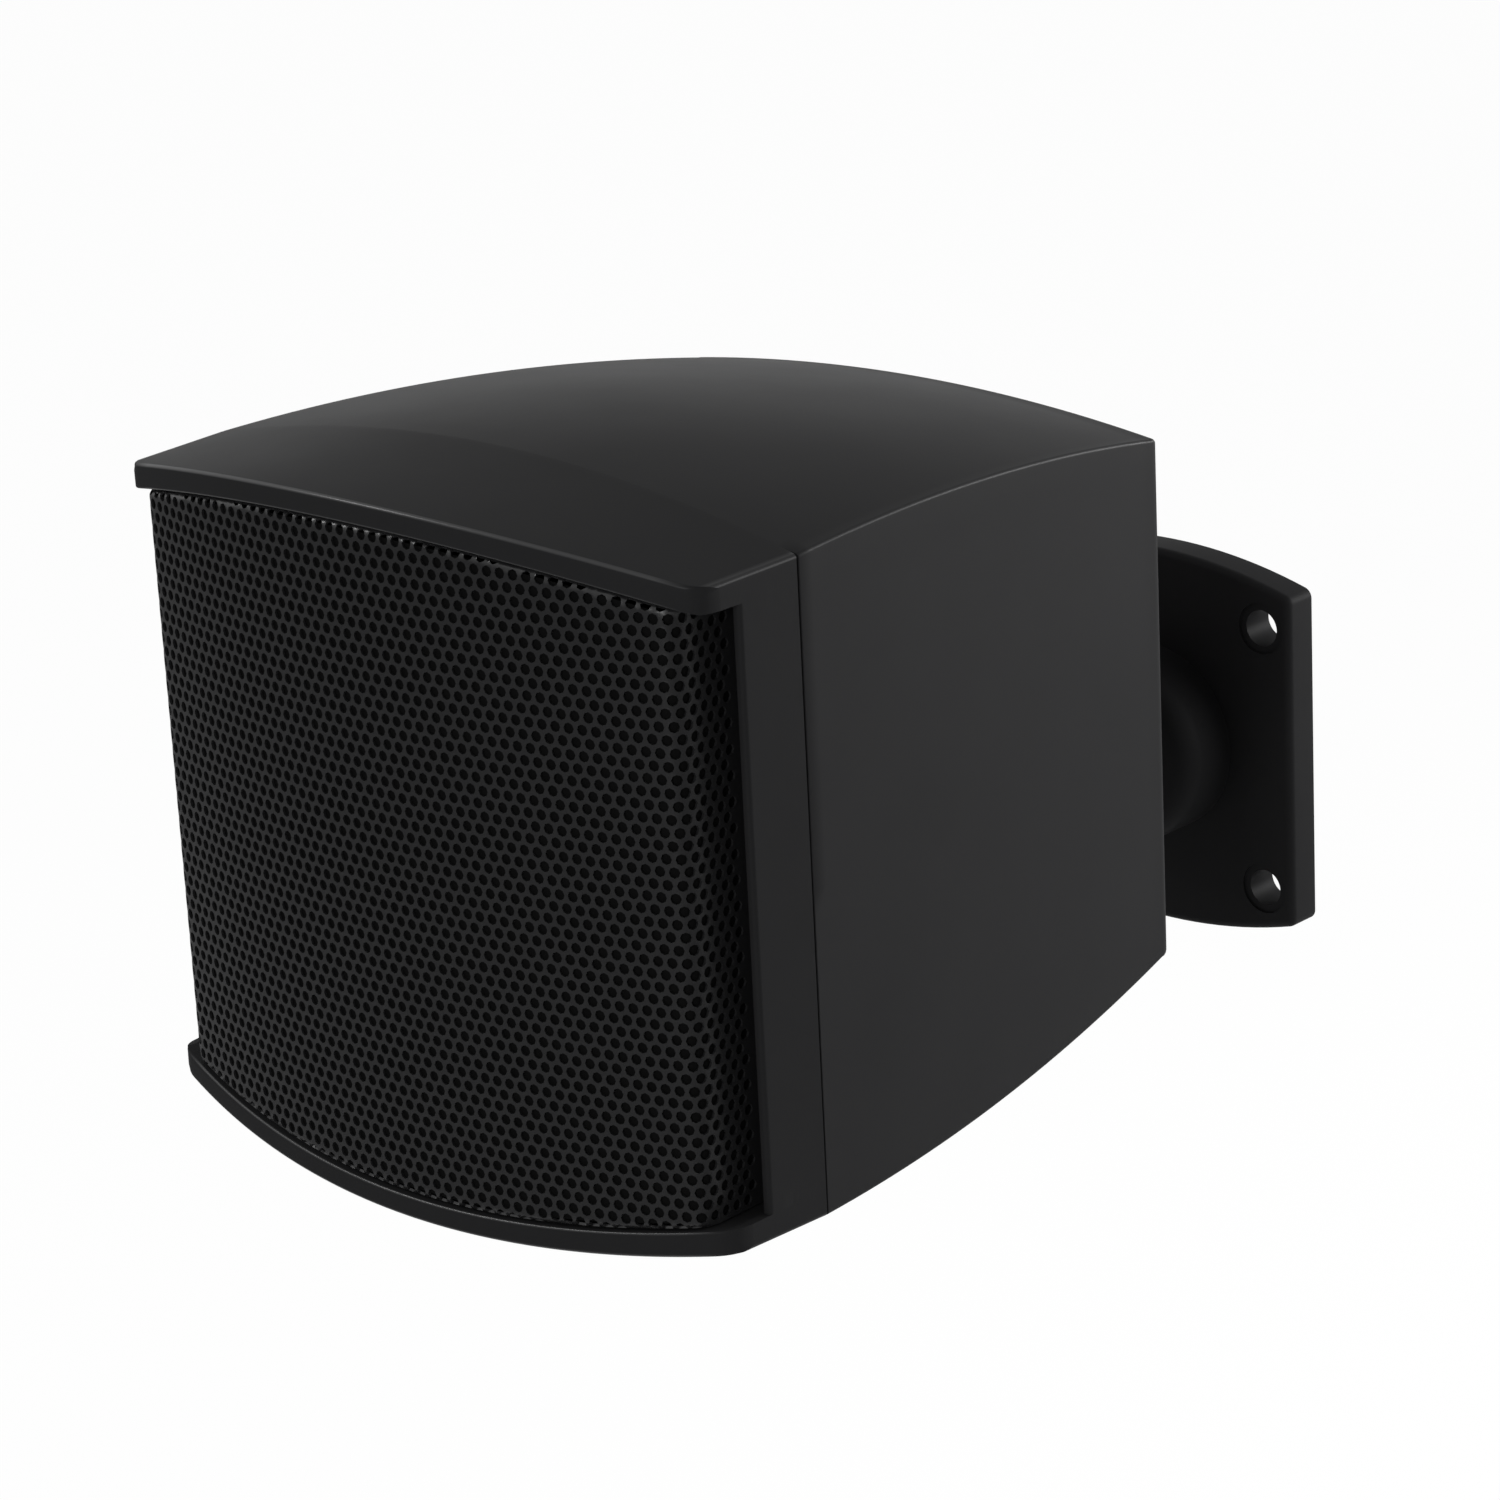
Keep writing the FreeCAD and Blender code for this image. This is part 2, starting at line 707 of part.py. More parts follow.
# Grille: one steel sheet, bowed like the lips and bent back at both sides to stand on the baffle
grille = speaker_body("grille")
grille_width = tunnel_width - 2 * d.grille_gap
share = grille_width / tunnel_width
grille_rise = d.lip_rise * share * share
grille_height = tunnel_height + 2 * (d.lip_rise - grille_rise) - 2 * d.grille_clear
pad(grille, arched(front_sketch(grille, baffle_front), grille_width, grille_height, grille_rise),
    d.baffle_depth + d.lip_bulge)
sheet_front = trim_front(grille, grille_width / 2, d.grille_bulge, d.grille_inset, d.grille_bend)


def is_rim(face):
    """Test for the faces that the sheet leaves open: top, bottom and back."""
    first_u, last_u, first_v, last_v = face.ParameterRange
    normal = face.normalAt((first_u + last_u) / 2, (first_v + last_v) / 2)
    return abs(normal.z) > 0.5 or face.BoundBox.YMin > baffle_front.value - NEAR


sheet_metal = grille.newObject("PartDesign::Thickness", "sheet_metal")
sheet_metal.Base = (sheet_front, faces_of(sheet_front, is_rim))
sheet_metal.Reversed = True
bind(sheet_metal, "Value", d.grille_sheet)

# Its perforation, coarser than the real one: two staggered rows, repeated across and up
COLUMNS = 11
ROW_PAIRS = 6
column_pitch = (grille_width - 2 * d.grille_bend) / (COLUMNS + 0.5)
row_pitch = (grille_height - 2 * d.perforation_land) / (2 * ROW_PAIRS)
perforation_radius = (column_pitch - d.perforation_land) / 2
first_across = -column_pitch * (COLUMNS - 0.5) / 2
first_up = -row_pitch * (2 * ROW_PAIRS - 1) / 2
first_pair = disc(front_sketch(grille, apex), perforation_radius, first_across, first_up)
disc(first_pair, perforation_radius, first_across + column_pitch / 2, first_up + row_pitch)
punched = cut(grille, first_pair, d.lip_bulge + d.baffle_depth)
repeat = grille.newObject("PartDesign::MultiTransform", "perforation")
repeat.Originals = [punched]
steps = []
for axis, pitch, number in (("H_Axis", column_pitch, COLUMNS), ("V_Axis", 2 * row_pitch, ROW_PAIRS)):
    step = grille.newObject("PartDesign::LinearPattern", "row")
    step.Direction = (first_pair, [axis])
    step.Occurrences = number
    bind(step, "Length", pitch * (number - 1))
    steps.append(step)
repeat.Transformations = steps
grille.Tip = repeat

# Screws that hold the bezel on the cabinet's posts, hidden behind the grille
baffle_y = joint_plane + baffle_front
group("case_screws", [
    screw(across, baffle_y, d.arm_drop + up, d.baffle_thickness + skirt + d.post_length / 2)
    for across, up in case_spots
])

# Driver basket: pressed steel, a flange and a windowed cone, turned about the driver's axis
flange_front = baffle_front - d.gasket_thickness - d.flange_thickness
frame_back = flange_front + d.frame_depth
hub_radius = d.coil_radius + d.coil_wall + d.winding_wall + 2 * d.magnet_gap
basket = speaker_body("driver_basket")
turn(basket, [
    (flange_front, d.frame_mouth_radius),
    (frame_back, d.frame_neck_radius),
    (frame_back, hub_radius),
    (frame_back + d.frame_sheet, hub_radius),
    (frame_back + d.frame_sheet, d.frame_neck_radius + d.frame_sheet),
    (flange_front + d.flange_thickness, d.frame_mouth_radius + d.frame_sheet),
    (flange_front + d.flange_thickness, d.flange_radius),
    (flange_front, d.flange_radius),
])
window_inner = d.frame_neck_radius + 2 * d.frame_sheet
window_outer = d.frame_mouth_radius - d.frame_sheet
windows = front_sketch(basket, frame_back)
window = [
    (window_inner, window_inner / 2),
    (window_outer, window_outer / 2),
    (window_outer, -window_outer / 2),
    (window_inner, -window_inner / 2),
]
for cosine, sine in ((1, 0), (0, 1), (-1, 0), (0, -1)):
    outline(windows, [(far * cosine - aside * sine, far * sine + aside * cosine) for far, aside in window])
cut(basket, windows, d.frame_depth - d.flange_thickness, forwards=True)
flange_holes = front_sketch(basket, flange_front)
for across, up in driver_spots:
    disc(flange_holes, screw_hole_radius, across, up)
cut(basket, flange_holes, d.flange_thickness)

# Driver gasket: a foam ring under the flange
gasket = speaker_body("driver_gasket")
gasket_sketch = disc(front_sketch(gasket, baffle_front), d.flange_radius)
disc(gasket_sketch, driver_hole)
for across, up in driver_spots:
    disc(gasket_sketch, screw_hole_radius, across, up)
pad(gasket, gasket_sketch, d.gasket_thickness)
driver_screw_length = d.flange_thickness + d.gasket_thickness + d.baffle_thickness
group("driver_screws", [
    screw(across, joint_plane + flange_front, d.arm_drop + up, driver_screw_length)
    for across, up in driver_spots
])

# Surround: a rubber half roll from the flange to the cone
ROLL_SLACK = 1.2
roll = (d.surround_outer_radius - d.surround_inner_radius) / 2 * ROLL_SLACK
surround_front = flange_front - d.surround_sheet
surround = speaker_body("driver_surround")
turn(surround, [
    (flange_front, d.surround_outer_radius + d.surround_rim),
    (flange_front, d.surround_outer_radius, roll),
    (flange_front, d.surround_inner_radius),
    (flange_front, d.surround_inner_radius - d.cone_rim),
    (surround_front, d.surround_inner_radius - d.cone_rim),
    (surround_front, d.surround_inner_radius, -roll),
    (surround_front, d.surround_outer_radius),
    (surround_front, d.surround_outer_radius + d.surround_rim),
])

# Cone: pressed paper, glued to the surround at its rim and to the coil at its neck
cone_mouth = d.surround_inner_radius - d.cone_rim
cone_neck = d.coil_radius + d.coil_wall + d.screw_gap
cone_back = flange_front + d.cone_depth
cone = speaker_body("driver_cone")
turn(cone, [
    (flange_front, d.surround_inner_radius - d.screw_gap),
    (flange_front, cone_mouth),
    (cone_back, cone_neck),
    (cone_back + d.cone_sheet, cone_neck),
    (flange_front + d.cone_sheet, cone_mouth),
    (flange_front + d.cone_sheet, d.surround_inner_radius - d.screw_gap),
])

# Dust cap: a small dome over the cone's neck
DOME_SHARE = 0.3
cap_radius = d.coil_radius + 2 * d.cone_rim
cap_rise = DOME_SHARE * cap_radius
cap_rim = cone_back - d.cone_depth * (cap_radius - cone_neck) / (cone_mouth - cone_neck) - d.cone_sheet
cap_bow = arc_radius(2 * cap_radius, cap_rise)
dust_cap = speaker_body("dust_cap")
turn(dust_cap, [
    (cap_rim - cap_rise, 0, -cap_bow),
    (cap_rim, cap_radius),
    (cap_rim + d.cone_sheet, cap_radius, cap_bow),
    (cap_rim - cap_rise + d.cone_sheet, 0),
])

# Voice coil: a former with its winding in the magnet's gap
top_plate_front = frame_back + d.frame_sheet
coil_back = top_plate_front + d.top_plate_thickness / 2 + d.winding_length / 2
coil_outer = d.coil_radius + d.coil_wall
coil = speaker_body("voice_coil")
turn(coil, [
    (coil_back - d.coil_length, d.coil_radius),
    (coil_back, d.coil_radius),
    (coil_back, coil_outer + d.winding_wall),
    (coil_back - d.winding_length, coil_outer + d.winding_wall),
    (coil_back - d.winding_length, coil_outer),
    (coil_back - d.coil_length, coil_outer),
])

# Spider: a corrugated cloth ring that centres the coil in the basket
SPIDER_WAVES = 3
spider_y = cone_back + 2 * d.cone_rim
spider_share = (spider_y - flange_front + d.spider_wave) / d.frame_depth
frame_taper = d.frame_mouth_radius - d.frame_neck_radius
spider_outer = d.frame_mouth_radius - frame_taper * spider_share - d.screw_gap
spider_inner = coil_outer + d.screw_gap
spider_pitch = (spider_outer - spider_inner) / (2 * SPIDER_WAVES)
zigzag = [
    (spider_y + d.spider_wave / 2 * (1 if step % 2 else -1), spider_inner + spider_pitch * step)
    for step in range(2 * SPIDER_WAVES + 1)
]
spider = speaker_body("spider")
turn(spider, zigzag + [(y + d.spider_sheet, radius) for y, radius in reversed(zigzag)])

# Magnet system: top plate, ring magnet and yoke with its pole and vent
top_plate_back = top_plate_front + d.top_plate_thickness
magnet_back = top_plate_back + d.magnet_thickness
yoke_back = magnet_back + d.yoke_thickness
pole_radius = d.coil_radius - d.magnet_gap
top_plate = speaker_body("top_plate")
turn(top_plate, [
    (top_plate_front, hub_radius - d.magnet_gap),
    (top_plate_back, hub_radius - d.magnet_gap),
    (top_plate_back, d.top_plate_radius),
    (top_plate_front, d.top_plate_radius),
])
magnet = speaker_body("magnet")
turn(magnet, [
    (top_plate_back, d.magnet_bore),
    (magnet_back, d.magnet_bore),
    (magnet_back, d.magnet_radius),
    (top_plate_back, d.magnet_radius),
])
yoke = speaker_body("yoke")
turn(yoke, [
    (top_plate_front, d.vent_radius),
    (yoke_back, d.vent_radius),
    (yoke_back, d.yoke_radius),
    (magnet_back, d.yoke_radius),
    (magnet_back, pole_radius),
    (top_plate_front, pole_radius),
])

# Rear terminal: a plate with a body behind it, two spring levers and a wire hole under each
terminal_z = d.arm_drop + d.terminal_rise
plate_face = d.terminal_thickness
well_gap = d.running_gap
pivot_up = d.terminal_body_height / 2 - 2 * d.lever_pivot_radius + d.running_gap
lever_foot = pivot_up - d.lever_height
well_top = pivot_up + d.lever_pivot_radius + well_gap
well_bottom = lever_foot - d.lever_pivot_radius
well_depth = d.terminal_body_depth / 2
terminal = new_body("terminal_block", y=cabinet_back, z=terminal_z)
terminal_plate = block(front_sketch(terminal), d.terminal_width, d.terminal_height)
terminal_body = block(front_sketch(terminal), d.terminal_body_width, d.terminal_body_height)
pad(terminal, terminal_plate, d.terminal_thickness, backwards=True)
pad(terminal, terminal_body, d.terminal_body_depth)
wells = front_sketch(terminal, plate_face)
wire_holes = front_sketch(terminal, plate_face)
for side in (1, -1):
    across = side * d.lever_pitch / 2
    block(wells, d.lever_width + 2 * well_gap, well_top - well_bottom, across, (well_top + well_bottom) / 2)
    disc(wire_holes, d.wire_hole_radius, across, well_bottom - d.wire_hole_radius - 2 * well_gap)
    disc(wire_holes, screw_hole_radius, side * d.terminal_screw_pitch / 2, 0)
cut(terminal, wells, d.terminal_thickness + well_depth, forwards=True)
cut(terminal, wire_holes, d.terminal_thickness + well_depth, forwards=True)
# The lever's round head is a little flatter than a half circle
LEVER_HEAD = 1.01
pin_radius = d.lever_pivot_radius / 2
pin_length = d.lever_width + 8 * well_gap
for side in (1, -1):
    pin_plane = new_sketch(terminal, "YZ_Plane", side * d.lever_pitch / 2)
    pin_hole = disc(pin_plane, pin_radius + d.screw_gap, 0, pivot_up)
    add_feature(terminal, "Pocket", pin_hole, Length=pin_length + 2 * d.screw_gap, SideType="Symmetric")
for side, colour in ((1, "red"), (-1, "black")):
    lever = new_body(f"terminal_lever_{colour}", x=side * d.lever_pitch / 2, y=cabinet_back, z=terminal_z)
    tab = outline(new_sketch(lever, "YZ_Plane"), [
        (-d.lever_pivot_radius, lever_foot),
        (plate_face + d.lever_stand, lever_foot),
        (plate_face + d.lever_stand, lever_foot + d.lever_pivot_radius),
        (d.lever_pivot_radius, pivot_up, LEVER_HEAD * d.lever_pivot_radius),
        (-d.lever_pivot_radius, pivot_up),
    ])
    add_feature(lever, "Pad", tab, Length=d.lever_width, SideType="Symmetric")
    pin = disc(new_sketch(lever, "YZ_Plane"), pin_radius, 0, pivot_up)
    add_feature(lever, "Pad", pin, Length=pin_length, SideType="Symmetric")
group("terminal_screws", [
    screw(side * d.terminal_screw_pitch / 2, cabinet_back + plate_face, terminal_z,
          d.terminal_thickness + d.back_wall, forwards=True)
    for side in (1, -1)
])
tags = []
tag_tip = cabinet_back - d.terminal_body_depth - d.tag_length
for side in (1, -1):
    tag = doc.addObject("Part::Box", "tag")
    bind(tag, "Length", d.tag_width)
    bind(tag, "Width", d.tag_length)
    bind(tag, "Height", d.tag_thickness)
    place(tag, side * d.lever_pitch / 2 - d.tag_width / 2, tag_tip, terminal_z)
    tags.append(tag)
group("terminal_contacts", tags)

# Check every object, then write one file per node
doc.recompute()
for thing in doc.Objects:
    if "Invalid" in thing.State or "Error" in thing.State:
        raise RuntimeError(f"{thing.Label} failed: {thing.State}")
for node in NODES:
    if node.Shape.isNull() or not node.Shape.isValid():
        raise RuntimeError(f"{node.Label} has no valid shape")
os.makedirs("parts", exist_ok=True)
for node in NODES:
    node.Shape.exportStep(f"parts/{node.Label}.step")
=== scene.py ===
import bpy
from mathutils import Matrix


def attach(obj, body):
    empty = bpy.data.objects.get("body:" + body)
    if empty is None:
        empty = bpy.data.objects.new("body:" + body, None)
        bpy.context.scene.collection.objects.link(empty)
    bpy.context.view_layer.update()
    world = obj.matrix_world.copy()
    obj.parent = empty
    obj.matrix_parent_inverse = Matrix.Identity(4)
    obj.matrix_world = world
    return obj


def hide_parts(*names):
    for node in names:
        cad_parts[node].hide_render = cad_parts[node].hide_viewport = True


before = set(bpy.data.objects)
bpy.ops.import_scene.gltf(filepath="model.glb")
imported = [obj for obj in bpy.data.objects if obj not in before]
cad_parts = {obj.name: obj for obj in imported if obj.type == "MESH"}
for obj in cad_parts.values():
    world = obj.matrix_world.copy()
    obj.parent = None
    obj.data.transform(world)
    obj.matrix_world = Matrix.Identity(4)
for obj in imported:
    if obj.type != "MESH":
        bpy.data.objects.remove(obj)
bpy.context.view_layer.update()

import math

import bmesh
import bpy
import numpy as np
from mathutils import Matrix


# Wall plate: the bracket's flat foot, moulded in black plastic with a smooth matt skin.
# Four wall screws go through its corners, and the ball joint's collar is screwed to its middle.
class Wire:
    """A socket in a material's nodes. Arithmetic on wires adds Math nodes, so patterns read as formulas."""

    def __init__(self, tree, socket=None):
        self.tree = tree
        self.socket = socket

    def node(self, kind, settings=None, sockets=None, out=0):
        """Add a node: its settings first, then its sockets' values or wires; gives one of its outputs."""
        made = self.tree.nodes.new("ShaderNode" + kind)
        for name, setting in (settings or {}).items():
            setattr(made, name, setting)
        for name, value in (sockets or {}).items():
            if isinstance(value, Wire):
                self.tree.links.new(value.socket, made.inputs[name])
            else:
                made.inputs[name].default_value = value
        return Wire(self.tree, made.outputs[out] if made.outputs else None)

    def math(self, operation, other, swapped=False):
        pair = (other, self) if swapped else (self, other)
        return self.node("Math", {"operation": operation}, dict(enumerate(pair)))

    def __add__(self, other):
        return self.math("ADD", other)

    def __sub__(self, other):
        return self.math("SUBTRACT", other)

    def __rsub__(self, other):
        return self.math("SUBTRACT", other, True)

    def __mul__(self, other):
        return self.math("MULTIPLY", other)

    __radd__ = __add__
    __rmul__ = __mul__

    def between(self, first, second):
        """A colour that goes from the first to the second as this value goes from 0 to 1."""
        return self.node("Mix", {"data_type": "RGBA"}, {0: self, 6: (*first, 1), 7: (*second, 1)}, out=2)


def new_material(name):
    """An empty material, and a wire to add its nodes with."""
    material = bpy.data.materials.new(name)
    material.use_nodes = True
    material.node_tree.nodes.clear()
    return material, Wire(material.node_tree)


def noise(pen, size, detail=3.0):
    """Soft noise from 0 to 1 in the object's own space, with lumps of about one size in metres."""
    where = pen.node("TexCoord", out="Object")
    sockets = {"Vector": where, "Scale": 1 / size, "Detail": detail, "Roughness": 0.55}
    return pen.node("TexNoise", None, sockets)


def surface(pen, colour, roughness, height, depth, **fixed):
    """Close a material: colour and roughness vary over it, height times depth in metres is its relief."""
    relief = pen.node("Bump", None, {"Strength": 1.0, "Distance": depth, "Height": height})
    sockets = {"Base Color": colour, "Roughness": roughness, "Normal": relief}
    shader = pen.node("BsdfPrincipled", None, {**sockets, **fixed})
    pen.node("OutputMaterial", None, {"Surface": shader})


def moulded_plastic(name, dark, light, roughness, grain, depth, gloss):
    """Plastic from a spark-eroded mould: a pebbled grain and a faint cloudiness in colour and sheen.

    Where the mesh has an attribute called polish, the grain ran out in the mould and the surface shines.
    """
    material, pen = new_material(name)
    pebble = noise(pen, grain)
    cloud = noise(pen, 0.018, 4.0)
    colour = (0.7 * cloud + 0.3 * pebble).between(dark, light)
    rough = roughness - 0.06 + 0.08 * cloud + 0.04 * pebble
    polish = pen.node("Attribute", {"attribute_name": "polish"}, out="Fac")
    sheen = {"Specular IOR Level": gloss, "Coat Weight": polish, "Coat Roughness": 0.3}
    surface(pen, colour, rough, pebble, depth, **sheen)
    return material


def dress(node, material, crease=32):
    """Give a CAD node its finish; its loose triangles are joined and shaded smooth up to a crease angle."""
    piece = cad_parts[node]
    piece.data.materials.clear()
    piece.data.materials.append(material)
    piece.data.polygons.foreach_set("use_smooth", np.ones(len(piece.data.polygons), bool))
    weld = piece.modifiers.new("join", "WELD")
    weld.merge_threshold = 1e-6
    split = piece.modifiers.new("crease", "EDGE_SPLIT")
    split.split_angle = math.radians(crease)
    return piece


BRACKET_BLACK = (0.009, 0.009, 0.0095), (0.013, 0.013, 0.0135)
bracket_plastic = moulded_plastic("bracket_plastic", *BRACKET_BLACK, 0.55, 0.0005, 0.000008, 0.03)
dress("wall_plate", bracket_plastic)

# Socket collar: the domed ring that traps the ball, moulded like the plate.
# Three zinc-plated screws from behind the plate pull it down on a nylon friction seat.
COLLAR_CIRCLE, RECESS_ARM, RECESS_WIDTH, RECESS_DEPTH = 0.0127, 0.0016, 0.0009, 0.0003
dress("socket_collar", bracket_plastic)


def plated_steel(name, base, roughness):
    """Plated metal: a bright tone with blotches of passivation and a fine crystalline sparkle."""
    material, pen = new_material(name)
    crystal = noise(pen, 0.0003)
    blotch = noise(pen, 0.004, 2.0)
    colour = blotch.between([0.82 * c for c in base], base)
    surface(pen, colour, roughness + 0.15 * blotch, crystal, 0.000004, Metallic=1.0)
    return material


def cross_heads(name, base, spots):
    """Plated screws seen end on: a cross recess pressed in as relief in the head at each spot (x, z), with
    painted shade darkening its inside.
    """
    material, pen = new_material(name)
    where = pen.node("SeparateXYZ", None, {"Vector": pen.node("TexCoord", out="Object")}).socket.node
    x, z = Wire(pen.tree, where.outputs["X"]), Wire(pen.tree, where.outputs["Z"])
    recess = None
    for spot_x, spot_z in spots:
        across, up = (x - spot_x).math("ABSOLUTE", 0.0), (z - spot_z).math("ABSOLUTE", 0.0)
        narrow = across.math("MINIMUM", up).math("LESS_THAN", RECESS_WIDTH / 2)
        arm = narrow * across.math("MAXIMUM", up).math("LESS_THAN", RECESS_ARM)
        recess = arm if recess is None else recess + arm
    blotch = noise(pen, 0.004, 2.0)
    # Painted shade: inside each cross recess the colour drops to 0.12 of the metal's tone, standing in for
    # the shade that falls there.
    colour = recess.between(base, [0.12 * c for c in base])
    surface(pen, colour, 0.3 + 0.15 * blotch, 1 - recess, RECESS_DEPTH, Metallic=1.0)
    return material


zinc_tone = (0.5, 0.5, 0.51)
collar_turns = np.radians((90, 210, 330))
collar_spots = COLLAR_CIRCLE * np.stack([np.cos(collar_turns), np.sin(collar_turns)], -1)
dress("collar_screws", cross_heads("collar_screw_zinc", zinc_tone, collar_spots.tolist()))
zinc_steel = plated_steel("zinc_steel", zinc_tone, 0.28)
nylon = moulded_plastic("nylon", (0.66, 0.64, 0.59), (0.74, 0.72, 0.67), 0.42, 0.0004, 0.000006, 0.5)
dress("ball_seat", nylon)


# Ball stud: ball, neck and flared arm cast in one piece and coated black.
# Its threaded end goes through the cabinet's back, where a washer and a nut hold it.
def coated_metal(name, dark, light, roughness, peel, depth, gloss):
    """Baked black coating: slightly wavy like orange peel, a little shinier on the crests."""
    material, pen = new_material(name)
    wave = noise(pen, peel, 2.0)
    colour = wave.between(dark, light)
    polish = pen.node("Attribute", {"attribute_name": "polish"}, out="Fac")
    sheen = {"Specular IOR Level": gloss, "Coat Weight": polish, "Coat Roughness": 0.25}
    surface(pen, colour, roughness + 0.1 - 0.14 * wave, wave, depth, **sheen)
    return material


ARM_BLACK = (0.011, 0.011, 0.012), (0.017, 0.017, 0.018)
arm_coat = coated_metal("arm_coat", *ARM_BLACK, 0.36, 0.0009, 0.00003, 0.3)
dress("ball_stud", arm_coat)
dress("stud_washer", zinc_steel)
dress("stud_nut", zinc_steel)

# Rear cabinet: a tapering shell of black plastic, moulded in one shot with a fine matt grain.
# Its open front carries a step that leaves a shadow gap to the bezel; the arm is bolted to its back.
MM = 0.001
JOINT_Y, AXIS_Z = -145.9, 28.3
JOINT = (109.5, 91.2, 6.4)
MIDDLE = (99.25, 89.25, 4.75)
BACK = (87.6, 77.9, 3.1)
CABINET_LENGTH, BACK_ROUND, EDGE_ROUND = 88.4, 2.4, 0.5
SEAM_DEPTH, SEAM_SHUT, SEAM_LOW, SEAM_GROWTH = 0.9, 0.01, 0.09, 0.22
SHELL_WALL, CABINET_WEAR = 2.6, 0.04
ARC_STEPS, CORNER_STEPS, SIDE_STEPS = 72, 8, 22


def bent_corner(start, corner, end, steps):
    """Points of a quadratic curve from start to end that is drawn towards a corner; the end is left out."""
    t = np.linspace(0, 1, steps, endpoint=False)[:, None]
    return (1 - t) ** 2 * start + 2 * t * (1 - t) * corner + t ** 2 * end


def arched_loop(width, height, rise, corner):
    """Outline of a rectangle with bowed top and bottom: arcs z = half height + rise (1 - (2x / width)^2).

    It runs anticlockwise seen from the front, from the left end of the bottom arc, as points (x, z).
    """
    reach = width / 2 - corner
    lift = rise * (1 - (2 * reach / width) ** 2)
    x = np.linspace(-reach, reach, ARC_STEPS, endpoint=False)
    bottom = np.stack([x, -height / 2 - rise * (1 - (2 * x / width) ** 2)], -1)
    tip, sharp = np.array([reach, -height / 2 - lift]), np.array([width / 2, -height / 2])
    side_end = sharp + (0, corner)
    turn = bent_corner(tip, sharp, side_end, CORNER_STEPS)
    z = np.linspace(side_end[1], -side_end[1], SIDE_STEPS, endpoint=False)
    side = np.stack([np.full_like(z, width / 2), z], -1)
    upturn = bent_corner(side_end * (1, -1), sharp * (1, -1), tip * (1, -1), CORNER_STEPS)
    half = np.concatenate([bottom, turn, side, upturn])
    return np.concatenate([half, -half])


def drawn_in(loop, inset):
    """An outline drawn in by an inset, by the share that its half width and half height lose."""
    half = np.abs(loop).max(0)
    return loop * (1 - inset / half)


def cabinet_loop(y, inset=0.0):
    """The cabinet's outline at a depth; each size is a parabola through joint, middle and back values."""
    stop = CABINET_LENGTH - BACK_ROUND
    halfway = CABINET_LENGTH / 2
    y = min(y, stop)
    first = (y - halfway) * (y - stop) / (halfway * stop)
    second = y * (y - stop) / (halfway * (halfway - stop))
    third = y * (y - halfway) / (stop * (stop - halfway))
    sizes = [first * a + second * b + third * c for a, b, c in zip(JOINT, MIDDLE, BACK)]
    return drawn_in(arched_loop(*sizes, EDGE_ROUND), inset)


def beside(loop):
    """1 on the sides of an outline and 0 along its top and bottom, with a short change at the corners."""
    return np.clip((np.abs(loop[:, 0]) / np.abs(loop[:, 0]).max() - 0.985) / 0.015, 0, 1)


def seam_width(loop):
    """Width of the gap to the bezel: shut along the top and bottom, and wider up the sides."""
    upwards = np.clip(0.5 + loop[:, 1] / np.ptp(loop[:, 1]), 0, 1)
    return SEAM_SHUT + beside(loop) * (SEAM_LOW + SEAM_GROWTH * upwards)


def eased(loop, chamfer):
    """An outline drawn in by a small chamfer on its sides only, where the two mouldings part."""
    return loop + (drawn_in(loop, chamfer) - loop) * beside(loop)[:, None]


def corner_polish(loop):
    """1 on the rounded corners of an outline, which have lost their grain, and 0 elsewhere."""
    inset = np.abs(loop[:, 0]).max() - np.abs(loop[:, 0])
    return np.where((inset > 0.001) & (inset < EDGE_ROUND + 0.01), 1.0, 0.0)


def row_at(loop, y):
    """A loop of points (x, z) in the speaker, placed at one depth or at one depth per point."""
    depth = np.broadcast_to(y, loop.shape[:1])
    return np.stack([loop[:, 0], JOINT_Y + depth, AXIS_Z + loop[:, 1]], -1) * MM


def skin(name, rows, material, body, polish=None, ring=False):
    """Cover a grid of rows with quads; each row closes on itself, and so do the rows in a ring.

    Points that coincide, as at a pole, are merged, empty faces are dropped and all faces turned outwards.
    """
    rows = np.asarray(rows)
    count, around = rows.shape[:2]
    index = np.arange(count * around).reshape(count, around)
    lower = index if ring else index[:-1]
    upper = np.roll(index, -1, 0) if ring else index[1:]
    quads = np.stack([lower, np.roll(lower, -1, 1), np.roll(upper, -1, 1), upper], -1).reshape(-1, 4)
    return new_piece(name, rows.reshape(-1, 3), quads.tolist(), material, body, polish)


def new_piece(name, points, faces, material, body, polish=None, crease=30):
    """A mesh object from points and faces: doubles merged, faces outwards, smooth up to a crease angle.

    Polish, from 0 to 1 at each point, says where the surface is worn smooth.
    """
    mesh = bpy.data.meshes.new(name)
    mesh.from_pydata(points, [], faces)
    if polish is not None:
        mesh.attributes.new("polish", "FLOAT", "POINT").data.foreach_set("value", np.ravel(polish))
    work = bmesh.new()
    work.from_mesh(mesh)
    bmesh.ops.remove_doubles(work, verts=work.verts, dist=1e-7)
    bmesh.ops.dissolve_degenerate(work, edges=work.edges, dist=1e-7)
    bmesh.ops.recalc_face_normals(work, faces=work.faces)
    work.to_mesh(mesh)
    work.free()
    mesh.polygons.foreach_set("use_smooth", np.ones(len(mesh.polygons), bool))
    mesh.set_sharp_from_angle(angle=math.radians(crease))
    mesh.materials.append(material)
    piece = bpy.data.objects.new(name, mesh)
    bpy.context.scene.collection.objects.link(piece)
    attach(piece, body)
    return piece


